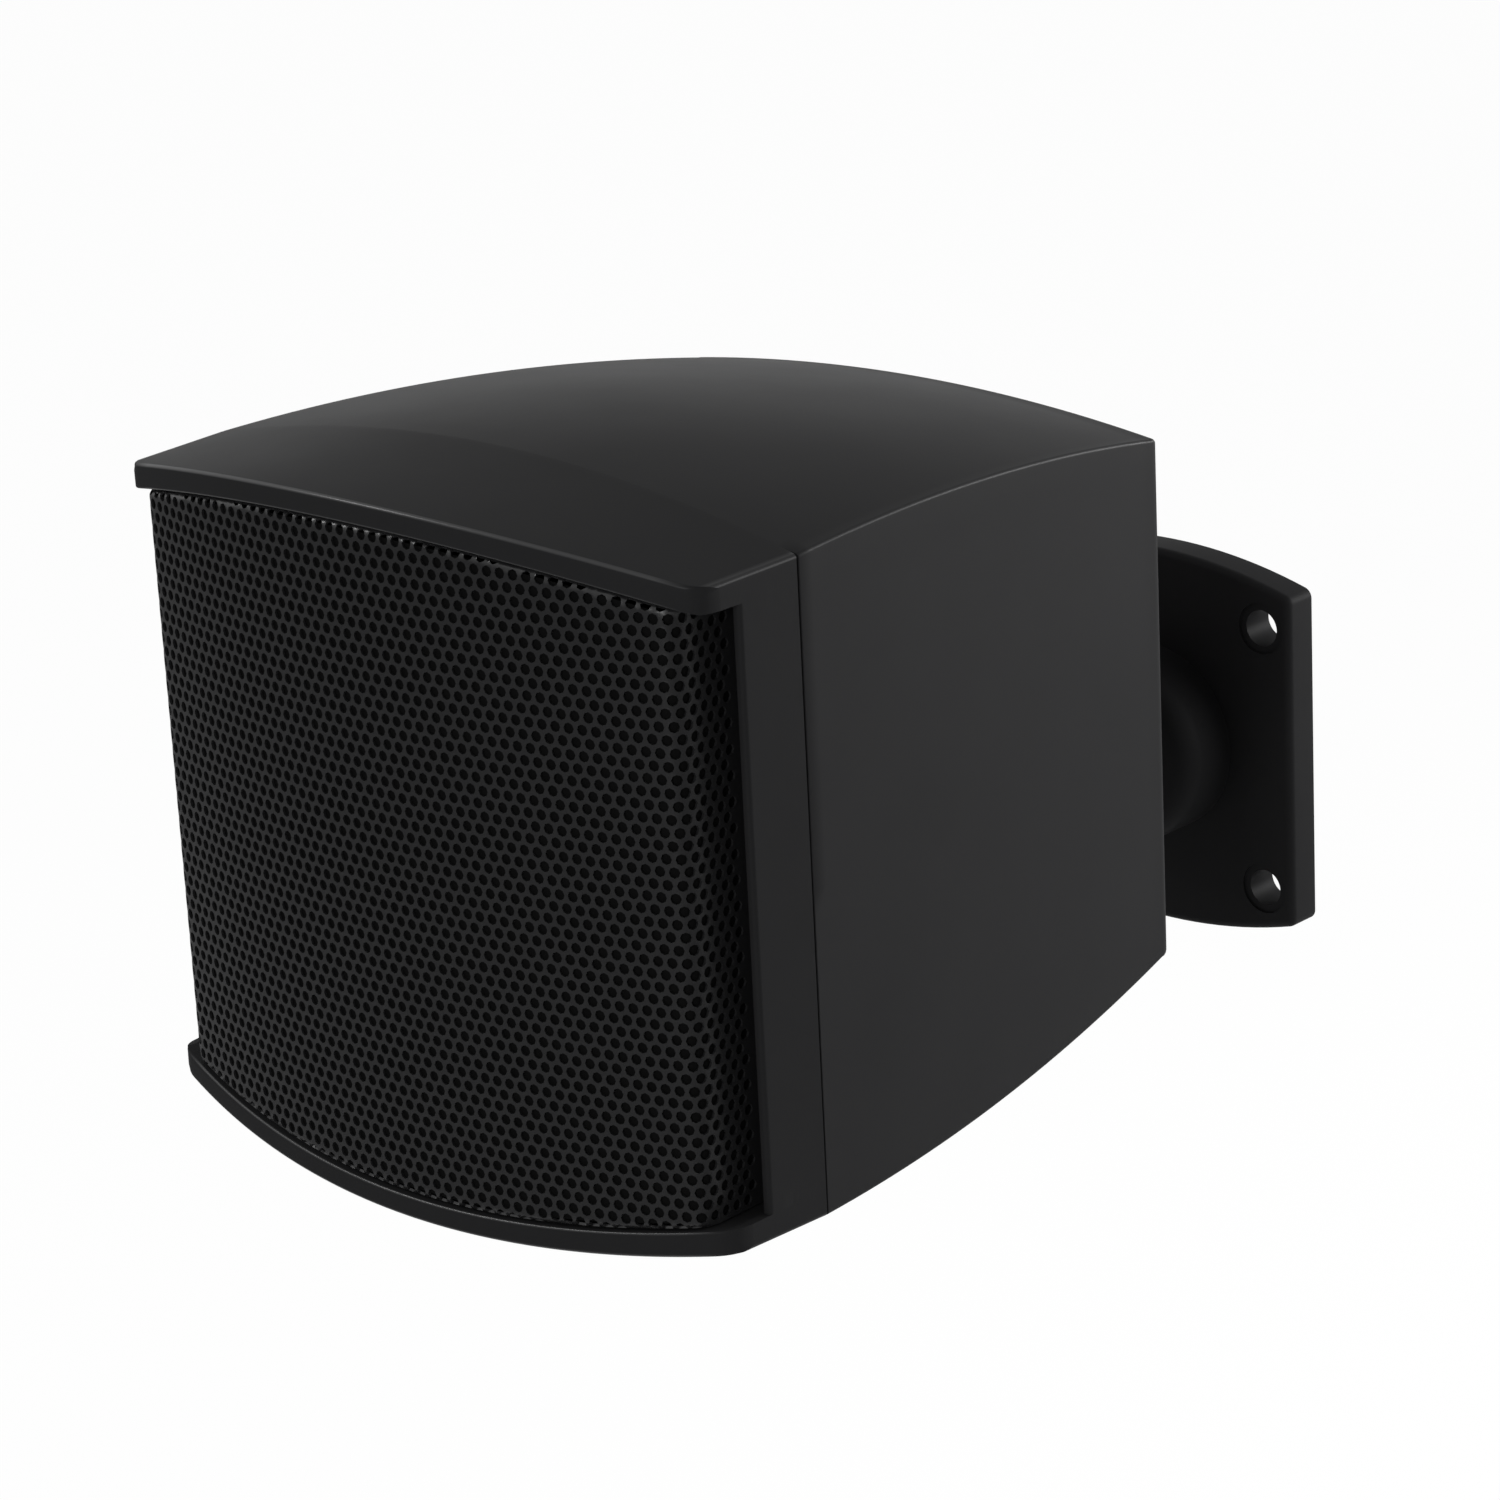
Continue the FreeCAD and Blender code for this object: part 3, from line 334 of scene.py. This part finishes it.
CABINET_BLACK = (0.010, 0.010, 0.0105), (0.0145, 0.0145, 0.015)
cabinet_plastic = moulded_plastic("cabinet_plastic", *CABINET_BLACK, 0.55, 0.00042, 0.000008, 0.03)
inner_back = CABINET_LENGTH - SHELL_WALL
inner_loop = cabinet_loop(inner_back, SHELL_WALL)
inside = [row_at(inner_loop * share, inner_back) for share in np.linspace(0, 1, 5)]
inside += [row_at(cabinet_loop(y, SHELL_WALL), y) for y in np.linspace(inner_back, 0, 8)[1:]]
front_loop = cabinet_loop(0)
seam_gap = seam_width(front_loop)
front_step = [row_at(drawn_in(front_loop, SEAM_DEPTH), share * seam_gap) for share in (0, 1)]
chamfers = (1, 0.12), (1.15, 0.04), (1.6, 0)
front_step += [row_at(eased(front_loop, chamfer), share * seam_gap) for share, chamfer in chamfers]
walls = [row_at(cabinet_loop(y), y) for y in np.linspace(0, CABINET_LENGTH - BACK_ROUND, 30)[1:]]
turns = np.radians(np.linspace(0, 90, 9)[1:])
rounded = [row_at(cabinet_loop(CABINET_LENGTH, BACK_ROUND * (1 - math.cos(turn))),
                  CABINET_LENGTH - BACK_ROUND * (1 - math.sin(turn))) for turn in turns]
back_loop = cabinet_loop(CABINET_LENGTH, BACK_ROUND)
back_face = [row_at(back_loop * share, CABINET_LENGTH) for share in np.linspace(1, 0, 8)[1:]]
cabinet_rows = inside + front_step + walls + rounded + back_face
wear = CABINET_WEAR * np.outer(np.ones(len(cabinet_rows)), corner_polish(front_loop))
cabinet = skin("cabinet_shell", cabinet_rows, cabinet_plastic, "speaker", wear)
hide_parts("rear_cabinet")

# Front bezel: the second moulding, with two lips that bow forwards and side frames set back between them.
# It slides over the cabinet's tongue, and its baffle carries the driver and the grille.
BEZEL_LENGTH, BULGE = 17.6, 8.9
APEX = -BEZEL_LENGTH - BULGE
LIP = (108.4, 90.0, 5.6)
LIP_THICKNESS, FRAME_WALL, FRAME_SETBACK = 3.2, 1.0, 6.8
LIP_CORNER, CORNER_REACH, CORNER_DROP = 5.5, 0.6, 0.8
LIP_ROUND, INNER_ROUND, FRAME_ROUND = 0.5, 0.35, 0.6
BAFFLE_DEPTH, BAFFLE_THICKNESS, DRIVER_HOLE = 12.4, 3.0, 32.8
CORNER_WEAR, LIP_WEAR, WORN_REACH, WEAR_FADE = 0.2, 0.75, 53.0, 5.0
TUNNEL = (LIP[0] - 2 * FRAME_WALL, LIP[1] - 2 * LIP_THICKNESS, LIP[2])


def bowed_front(x, half_width, corner, setback=0.0):
    """Depth of the bowed front at x: a parabola over the lips' width, then a quadratic curve at the corner.

    The curve starts along the bow, a share of the corner's size before the side, and ends along the side.
    """
    bow = BULGE / (LIP[0] / 2) ** 2
    reach = half_width - CORNER_REACH * corner
    x = np.minimum(np.abs(x), half_width)
    left = np.sqrt(np.clip((half_width - x) / (half_width - reach), 0, 1))
    first = bow * reach ** 2
    drawn = first + 2 * bow * reach * (half_width - reach)
    last = first + CORNER_DROP * corner
    turn = left ** 2 * first + 2 * left * (1 - left) * drawn + (1 - left) ** 2 * last
    return APEX + setback + np.where(x <= reach, bow * x ** 2, turn)


def bezel_loops():
    """Matching loops round the bezel: the joint, the lips, the tunnel, and where the side frames are.

    Half a loop goes along the bottom lip, round its corner, up the lip's end, then up the side frame.
    The place where the lip's end meets the frame is in it twice, so that a step can stand there.
    """
    spread = np.sin(np.radians(np.linspace(-90, 90, ARC_STEPS))) * 0.6 + np.linspace(-1, 1, ARC_STEPS) * 0.4
    end = TUNNEL[1] / 2

    def half_loop(width, height, rise, corner):
        reach = width / 2 - corner
        x = spread * reach
        bottom = np.stack([x, -height / 2 - rise * (1 - (2 * x / width) ** 2)], -1)
        sharp = np.array([width / 2, -height / 2])
        turn = bent_corner(bottom[-1], sharp, sharp + (0, corner), CORNER_STEPS)[1:]
        z = np.concatenate([np.linspace(corner - height / 2, -end, 3), np.linspace(-end, end, SIDE_STEPS),
                            np.linspace(end, height / 2 - corner, 3)])
        side = np.stack([np.full_like(z, width / 2), z], -1)
        top = sharp * (1, -1)
        upturn = bent_corner(top - (0, corner), top, bottom[-1] * (1, -1), CORNER_STEPS)[1:]
        return np.concatenate([bottom, turn, side, upturn])

    def whole(half):
        return np.concatenate([half, -half])

    joint, lip = (whole(half_loop(*sizes, EDGE_ROUND)) for sizes in (JOINT, LIP))
    x = spread * TUNNEL[0] / 2
    floor = np.stack([x, -end - TUNNEL[2] * (1 - spread ** 2)], -1)
    corner_points = np.repeat([[TUNNEL[0] / 2, -end]], CORNER_STEPS + 2, 0)
    z = np.linspace(-end, end, SIDE_STEPS)
    wall = np.stack([np.full_like(z, TUNNEL[0] / 2), z], -1)
    tunnel = whole(np.concatenate([floor, corner_points, wall, corner_points * (1, -1)]))
    framed = np.zeros(len(floor) + 2 * len(corner_points) + SIDE_STEPS, bool)
    framed[len(floor) + len(corner_points):][:SIDE_STEPS] = True
    return joint, lip, tunnel, np.concatenate([framed, framed])


joint_loop, lip_loop, tunnel_loop, framed = bezel_loops()
frame_front = FRAME_SETBACK - BEZEL_LENGTH


def outer_at(y):
    """The bezel's outside at a depth per point, on straight lines from the joint to the lips."""
    share = np.broadcast_to(np.asarray(y, float) / APEX, joint_loop.shape[:1])[:, None]
    return joint_loop + (lip_loop - joint_loop) * share


corner_end = float(bowed_front(LIP[0] / 2, LIP[0] / 2, LIP_CORNER))
lip_side = (JOINT[0] + (LIP[0] - JOINT[0]) * corner_end / APEX) / 2


def front_at(loop):
    """Depth of the bezel's front over a loop of points: the lips' bow, or the frames' flat front."""
    return np.where(framed, frame_front, bowed_front(loop[:, 0], lip_side, LIP_CORNER))


outer_front = front_at(outer_at(np.full(len(framed), corner_end)))
inner_front = front_at(tunnel_loop)
edge = outer_at(outer_front)
inward = tunnel_loop - edge
inward = inward / np.linalg.norm(inward, axis=1, keepdims=True)
flank = np.clip(1 + (np.abs(joint_loop[:, 0]) - JOINT[0] / 2) / EDGE_ROUND, 0, 1)
outer_round = np.where(framed, FRAME_ROUND, LIP_ROUND * (1 - flank))
baffle_y = BAFFLE_DEPTH - BEZEL_LENGTH
angle = np.arctan2(tunnel_loop[:, 1], tunnel_loop[:, 0])
hole_loop = np.stack([np.cos(angle), np.sin(angle)], -1) * DRIVER_HOLE
skirt_loop = drawn_in(joint_loop, SHELL_WALL / 2)
bezel_rows = [row_at(eased(joint_loop, 0.12), 0), row_at(joint_loop, -0.12)]
for share in (*np.linspace(0.05, 0.95, 10), 0.99, 1):
    y = share * (outer_front + outer_round)
    bezel_rows.append(row_at(outer_at(y), y))
wear = [CORNER_WEAR * corner_polish(joint_loop)] * len(bezel_rows)
lip_wear = np.where(framed, 0, LIP_WEAR * np.clip((WORN_REACH - np.abs(edge[:, 0])) / WEAR_FADE, 0, 1))
for turn in np.radians(np.linspace(0, 90, 7)[1:]):
    y = outer_front + outer_round * (1 - math.sin(turn))
    bezel_rows.append(row_at(outer_at(y) + inward * (outer_round * (1 - math.cos(turn)))[:, None], y))
    wear.append(lip_wear * math.sin(2 * turn))
lip_start = edge + inward * outer_round[:, None]
lip_stop = tunnel_loop - inward * INNER_ROUND
for share in np.linspace(0, 1, 6)[1:]:
    across = lip_start + (lip_stop - lip_start) * share
    bezel_rows.append(row_at(across, front_at(across)))
    wear.append(np.zeros(len(framed)))
for turn in np.radians(np.linspace(0, 90, 5)[1:]):
    across = lip_stop + inward * INNER_ROUND * math.sin(turn)
    bezel_rows.append(row_at(across, front_at(lip_stop) + INNER_ROUND * (1 - math.cos(turn))))
    wear.append(lip_wear * math.sin(2 * turn))
for share in np.linspace(0, 1, 5)[1:]:
    start = front_at(lip_stop) + INNER_ROUND
    bezel_rows.append(row_at(tunnel_loop, start + (baffle_y - start) * share))
bezel_rows.append(row_at((tunnel_loop + hole_loop) / 2, baffle_y))
bezel_rows.append(row_at(hole_loop, baffle_y))
bezel_rows.append(row_at(hole_loop, baffle_y + BAFFLE_THICKNESS))
bezel_rows.append(row_at(skirt_loop, baffle_y + BAFFLE_THICKNESS))
bezel_rows.append(row_at(skirt_loop, 0))
wear += [np.zeros(len(framed))] * (len(bezel_rows) - len(wear))
bezel = skin("bezel_moulding", bezel_rows, cabinet_plastic, "speaker", wear, ring=True)
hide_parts("front_bezel")

# Grille: one perforated steel sheet, bowed like the lips and bent back at its sides, coated black.
# Its cut edges are rolled back behind the lips, and its sides stand on the baffle.
SHEET, HOLE_PITCH, HOLE_RADIUS = 0.35, 2.05, 0.78
ROW_PITCH = HOLE_PITCH * math.sin(math.radians(60))
EDGE_ROLL, SIDE_MARGIN, EDGE_WEB, LEAST_CUT, EDGE_WEAR = 0.9, 2.5, 0.12, 0.3, 0.7
GRILLE_INSET, GRILLE_GAP, GRILLE_BEND, LIP_CLEAR = 0.4, 3.0, 4.0, 0.25
PLAN_STEPS = 200
half_grille = TUNNEL[0] / 2 - GRILLE_GAP
grille_rise = TUNNEL[2] * (2 * half_grille / TUNNEL[0]) ** 2
half_height = TUNNEL[1] / 2 + TUNNEL[2] - grille_rise - LIP_CLEAR

bend_start = half_grille - GRILLE_BEND
bowed_x = np.linspace(0, bend_start, PLAN_STEPS, endpoint=False)
bent_x = bend_start + GRILLE_BEND * np.sin(np.linspace(0, math.pi / 2, PLAN_STEPS))
plan_x = np.concatenate([bowed_x, bent_x])
plan_y = bowed_front(plan_x, half_grille, GRILLE_BEND, GRILLE_INSET)
plan_x, plan_y = np.append(plan_x, half_grille), np.append(plan_y, baffle_y)
plan_s = np.concatenate([[0], np.cumsum(np.hypot(np.diff(plan_x), np.diff(plan_y)))])


def edge_height(s):
    """Half height of the sheet where its developed width is s: the arch of the lips over the bow."""
    x = np.interp(np.abs(s), plan_s, plan_x)
    return half_height + grille_rise * (1 - (x / half_grille) ** 2)


def sheet_front(s, z):
    """The sheet's front face: a point at s along its plan and at height z, rolled back by a quarter round
    depth = r - sqrt(r^2 - t^2), where t is how far z has come into the last r before the edge."""
    x = np.interp(np.abs(s), plan_s, plan_x) * np.sign(s)
    y = np.interp(np.abs(s), plan_s, plan_y)
    roll = np.clip(np.abs(z) - edge_height(s) + EDGE_ROLL, 0, EDGE_ROLL * 0.97)
    return np.stack([x, y + EDGE_ROLL - np.sqrt(EDGE_ROLL ** 2 - roll ** 2), z], -1)


def sheet_point(s, z, depth):
    """A point of the sheet under its front face, along the normal from the face's two slopes."""
    tiny = 0.02
    along = sheet_front(s + tiny, z) - sheet_front(s - tiny, z)
    up = sheet_front(s, z + tiny) - sheet_front(s, z - tiny)
    normal = np.cross(along, up)
    normal /= np.linalg.norm(normal, axis=-1, keepdims=True)
    return (sheet_front(s, z) - normal * depth + (0, JOINT_Y, AXIS_Z)) * MM


def perforated_sheet():
    """Bricks of 8 border points in staggered rows, each with an 8-sided hole: points, faces and polish.

    Bricks and holes that the outline cuts are drawn in to it, with a thin web left between hole and edge.
    The front faces are copied to the back, and every open border of them is closed by a wall. A quad that
    the outline leaves with three corners becomes a triangle, and one with two is dropped.
    """
    length = plan_s[-1]
    columns = int((length - SIDE_MARGIN) / HOLE_PITCH) + 1
    rows = int((half_height + grille_rise) / ROW_PITCH) + 1
    row, column = np.meshgrid(np.arange(-rows, rows + 1), np.arange(-columns, columns + 1), indexing="ij")
    row, column = row.ravel(), column.ravel()
    half_s, half_z = 2 * column + row % 2, 2 * row
    middle_s, middle_z = half_s * HOLE_PITCH / 2, half_z * ROW_PITCH / 2
    ring = np.array([(1, 0), (1, 1), (0, 1), (-1, 1), (-1, 0), (-1, -1), (0, -1), (1, -1)])
    border_s = np.clip((half_s[:, None] + ring[:, 0]) * HOLE_PITCH / 2, -length, length)
    border_z = (half_z[:, None] + ring[:, 1]) * ROW_PITCH / 2
    limit = edge_height(border_s)
    border_z = np.clip(border_z, -limit, limit)
    kept = (np.ptp(border_s, axis=1) > 0.1) & (np.ptp(border_z, axis=1) > 0.05)
    border_s, border_z, middle_s, middle_z = border_s[kept], border_z[kept], middle_s[kept], middle_z[kept]
    turn = np.arange(8) * math.pi / 4
    hole_s = middle_s[:, None] + HOLE_RADIUS * np.cos(turn)
    hole_z = middle_z[:, None] + HOLE_RADIUS * np.sin(turn)
    limit = edge_height(hole_s) - EDGE_WEB
    open_brick = np.abs(hole_s).max(1) < length - SIDE_MARGIN
    open_brick &= np.abs(hole_z).min(1) < limit.min(1) - LEAST_CUT
    hole_z = np.clip(hole_z, -limit, limit)
    bricks = len(middle_s)
    outer = np.arange(bricks * 8).reshape(bricks, 8)
    inner = outer[open_brick] + bricks * 8
    rim = outer[open_brick]
    pierced = np.stack([rim, np.roll(rim, -1, 1), np.roll(inner, -1, 1), inner], -1).reshape(-1, 4)
    whole = outer[~open_brick][:, [[2, 3, 4, 6], [4, 5, 6, 6], [6, 7, 0, 2], [0, 1, 2, 2]]].reshape(-1, 4)
    front = np.concatenate([pierced, whole])
    s = np.concatenate([border_s.ravel(), hole_s.ravel()])
    z = np.concatenate([border_z.ravel(), hole_z.ravel()])
    _, first, same = np.unique(np.stack([s, z], -1), axis=0, return_index=True, return_inverse=True)
    used, front = np.unique(same.reshape(-1)[front], return_inverse=True)
    front = front.reshape(-1, 4)
    front = front[(front == np.roll(front, -1, 1)).sum(1) < 2]
    s, z = s[first][used], z[first][used]
    edges = np.concatenate([front[:, [k, (k + 1) % 4]] for k in range(4)])
    edges = edges[edges[:, 0] != edges[:, 1]]
    code = edges[:, 0] * len(s) + edges[:, 1]
    border = edges[~np.isin(code, edges[:, 1] * len(s) + edges[:, 0])]
    walls = np.stack([border[:, 1], border[:, 0], border[:, 0] + len(s), border[:, 1] + len(s)], -1)
    points = np.concatenate([sheet_point(s, z, 0), sheet_point(s, z, SHEET)])
    rolled = np.clip(1 - (edge_height(s) - np.abs(z)) / EDGE_ROLL, 0, 1)
    quads = np.concatenate([front, front[:, ::-1] + len(s), walls])
    repeat = quads == np.roll(quads, -1, 1)
    cut = repeat.any(1)
    triangles = quads[cut][~repeat[cut]].reshape(-1, 3)
    return points, quads[~cut].tolist() + triangles.tolist(), EDGE_WEAR * np.tile(rolled, 2)


GRILLE_BLACK = (0.008, 0.008, 0.0085), (0.013, 0.013, 0.0135)
grille_coat = coated_metal("grille_coat", *GRILLE_BLACK, 0.32, 0.0007, 0.000006, 0.15)
sheet_points, sheet_faces, sheet_wear = perforated_sheet()
grille = new_piece("grille_sheet", sheet_points, sheet_faces, grille_coat, "speaker", sheet_wear, 40)
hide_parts("grille")

# Grille liner: a thin near-black sheet stuck to the back of the grille sheet, as painted shade.
# It stands in for the shade inside the speaker, so that nothing shows through the holes.
LINER, LINER_EDGE, LINER_SIDE = 0.25, 0.8, 2.8


def dull_black(name, tone, bloom, gloss):
    """Dull black cloth or rubber: a greyish bloom in patches and a fine skin of pores or fibres."""
    material, pen = new_material(name)
    patch = noise(pen, 0.006)
    pore = noise(pen, 0.0003)
    colour = patch.between(tone, bloom)
    surface(pen, colour, 0.75 + 0.15 * patch, pore, 0.00002, **{"Specular IOR Level": gloss})
    return material


def liner_rows():
    """Rows along the developed width, each up the cloth's front and down its back; the ends are thin."""
    s = np.linspace(LINER_SIDE - plan_s[-1], plan_s[-1] - LINER_SIDE, 121)[:, None]
    z = np.linspace(-1, 1, 31) * (edge_height(s) - LINER_EDGE)
    thick = LINER * (np.abs(s) < np.abs(s).max())
    front = sheet_point(s + 0 * z, z, SHEET + 0.05 + 0 * z[..., None])
    back = sheet_point(s + 0 * z, z, SHEET + 0.05 + (thick + 0 * z)[..., None])
    return np.concatenate([front, back[:, ::-1]], 1)


# Painted shade: the liner's near-black tone stands in for the dark inside of the speaker seen through the
# holes.
painted_shade_liner = dull_black("painted_shade_liner", (0.003, 0.003, 0.003), (0.005, 0.005, 0.005), 0.01)
liner = skin("grille_shade_liner", liner_rows(), painted_shade_liner, "speaker")
liner_size = (2 * (plan_s[-1] - LINER_SIDE) * MM, 2 * (half_height + grille_rise - LINER_EDGE) * MM)
liner_area = 0.96 * liner_size[0] * liner_size[1]

# Driver: a pressed steel basket with a foam gasket, screwed to the baffle from the front.
# A paper cone on a rubber roll and a cloth spider carries the coil in the gap of a ferrite magnet.
BASKET_BLACK = (0.018, 0.018, 0.019), (0.026, 0.026, 0.027)
basket_coat = coated_metal("basket_coat", *BASKET_BLACK, 0.42, 0.0008, 0.00002, 0.3)
dress("driver_basket", basket_coat)

rubber = dull_black("surround_rubber", (0.012, 0.012, 0.012), (0.022, 0.022, 0.022), 0.1)
foam = dull_black("foam_rubber", (0.014, 0.014, 0.014), (0.026, 0.026, 0.025), 0.1)
dress("driver_surround", rubber)
dress("driver_gasket", foam)
# Painted shade: the screws behind the grille are near-black, standing in for the dark inside of the
# speaker.
shade_black_steel = plated_steel("shade_black_steel", (0.03, 0.03, 0.032), 0.42)
dress("case_screws", shade_black_steel)
dress("driver_screws", shade_black_steel)


def pressed_fibre(name, dark, light, fibre):
    """Felted paper or dipped cloth: short fibres as stretched noise in colour and relief."""
    material, pen = new_material(name)
    strands = noise(pen, fibre, 6.0)
    patch = noise(pen, 0.005)
    surface(pen, (0.6 * strands + 0.4 * patch).between(dark, light), 0.8 + 0.1 * strands, strands, 0.00006)
    return material


paper = pressed_fibre("cone_paper", (0.014, 0.014, 0.015), (0.034, 0.034, 0.035), 0.0009)
dress("driver_cone", paper)
dress("dust_cap", paper)
dress("spider", pressed_fibre("spider_cloth", (0.34, 0.22, 0.07), (0.5, 0.36, 0.15), 0.0006))
dress("voice_coil", plated_steel("coil_copper", (0.72, 0.36, 0.2), 0.3))
magnet_steel = plated_steel("magnet_steel", (0.5, 0.5, 0.5), 0.35)
dress("top_plate", magnet_steel)
dress("yoke", magnet_steel)
FERRITE_GREY = (0.03, 0.03, 0.032), (0.06, 0.06, 0.063)
dress("magnet", moulded_plastic("ferrite", *FERRITE_GREY, 0.6, 0.0006, 0.00002, 0.5))

# Rear terminal: a moulded block in the cabinet's back with two sprung levers over the wire holes.
# It is held by two screws, and brass tags inside take the driver's leads.
TERMINAL_BLACK = (0.012, 0.012, 0.013), (0.017, 0.017, 0.018)
dress("terminal_block", moulded_plastic("terminal_plastic", *TERMINAL_BLACK, 0.38, 0.0005, 0.000008, 0.45))
TERMINAL_RISE, TERMINAL_SCREW_PITCH = 14.0, 40.0
terminal_spots = [(side * TERMINAL_SCREW_PITCH / 2 * MM, (AXIS_Z + TERMINAL_RISE) * MM) for side in (-1, 1)]
dress("terminal_screws", cross_heads("terminal_screw_zinc", zinc_tone, terminal_spots))
dress("terminal_contacts", plated_steel("contact_brass", (0.75, 0.58, 0.3), 0.3))
LEVER_RED = (0.42, 0.015, 0.015), (0.5, 0.022, 0.02)
LEVER_BLACK = (0.014, 0.014, 0.014), (0.02, 0.02, 0.02)
dress("terminal_lever_red", moulded_plastic("lever_red", *LEVER_RED, 0.48, 0.0006, 0.000004, 0.12))
dress("terminal_lever_black", moulded_plastic("lever_black", *LEVER_BLACK, 0.48, 0.0006, 0.000004, 0.08))

# Stage: a pale floor well under the bracket, soft lamps round the speaker and a white surround.
# The surround is white to the camera and to reflections, and gives only a little light itself.
FLOOR_Z, FLOOR_REACH = -0.3, 6.0
corners = np.array([(-1, -1), (1, -1), (1, 1), (-1, 1)]) * FLOOR_REACH
floor_mesh = bpy.data.meshes.new("floor")
floor_mesh.from_pydata([(x, y, FLOOR_Z) for x, y in corners], [], [(0, 1, 2, 3)])
floor_material, pen = new_material("floor_paper")
seen = pen.node("LightPath", out="Is Camera Ray")
diffuse = pen.node("BsdfDiffuse", None, {"Color": (0.85, 0.85, 0.85, 1)})
glow = pen.node("Emission", None, {"Color": (1, 1, 1, 1), "Strength": 1.0})
lit = pen.node("MixShader", None, {0: 0.97 * seen, 1: diffuse, 2: glow})
pen.node("OutputMaterial", None, {"Surface": lit})
floor_mesh.materials.append(floor_material)
floor = bpy.data.objects.new("floor", floor_mesh)
bpy.context.scene.collection.objects.link(floor)

world = bpy.data.worlds.new("surround")
world.use_nodes = True
world.node_tree.nodes.clear()
sky = Wire(world.node_tree)
path = sky.node("LightPath").socket.node
direct = [Wire(world.node_tree, path.outputs[name]) for name in ("Is Camera Ray", "Is Glossy Ray",
                                                                 "Is Transmission Ray")]
shown = (direct[0] + direct[1] + direct[2]).math("MINIMUM", 1.0)
strength = 0.3 + 0.7 * shown
backdrop = sky.node("Background", None, {"Color": (1, 1, 1, 1), "Strength": strength})
sky.node("OutputWorld", None, {"Surface": backdrop})
bpy.context.scene.world = world


def soft_lamp(name, place, target, width, height, power):
    """A softbox that faces a point."""
    lamp = bpy.data.lights.new(name, "AREA")
    lamp.shape = "RECTANGLE"
    lamp.size, lamp.size_y, lamp.energy = width, height, power
    holder = bpy.data.objects.new(name, lamp)
    holder.location = place
    forwards = np.array(target) - np.array(place)
    heading = math.atan2(forwards[1], forwards[0]) - math.pi / 2
    tilt = math.atan2(np.hypot(*forwards[:2]), -forwards[2])
    holder.rotation_euler = (tilt, 0, heading)
    bpy.context.scene.collection.objects.link(holder)


SPEAKER = (0, -0.11, 0.03)
soft_lamp("low_rear", (0.306, 0.731, 0.124), SPEAKER, 0.5, 0.1, 8.4)
soft_lamp("low_left", (-0.635, 0.525, 0.093), SPEAKER, 0.5, 0.1, 0.35)
soft_lamp("right", (0.24, 0.11, 0.108), SPEAKER, 0.2, 0.2, 0.55)
soft_lamp("front", (0.301, -0.937, 0.217), SPEAKER, 0.35, 0.35, 3.9)
soft_lamp("left_front", (-0.565, -0.584, 0.546), SPEAKER, 0.14, 0.14, 1.4)

# Camera: a long lens in front of the speaker, to its right and a little above it.
# Its place, lens and slight roll are the photograph's.
camera_data = bpy.data.cameras.new("camera")
camera_data.sensor_width = 36
camera_data.lens = 117.52
camera_data.clip_start = 0.02
camera = bpy.data.objects.new("camera", camera_data)
heading, pitch, roll = (math.radians(angle) for angle in (43.5235, -18.7915, -2.9256))
aim = Matrix.Rotation(heading, 4, "Z") @ Matrix.Rotation(math.pi / 2 + pitch, 4, "X")
aim = aim @ Matrix.Rotation(roll, 4, "Z")
camera.matrix_world = Matrix.Translation((0.45825, -0.58117, 0.25013)) @ aim
bpy.context.scene.collection.objects.link(camera)
bpy.context.scene.camera = camera
bpy.context.scene.view_settings.view_transform = "Standard"
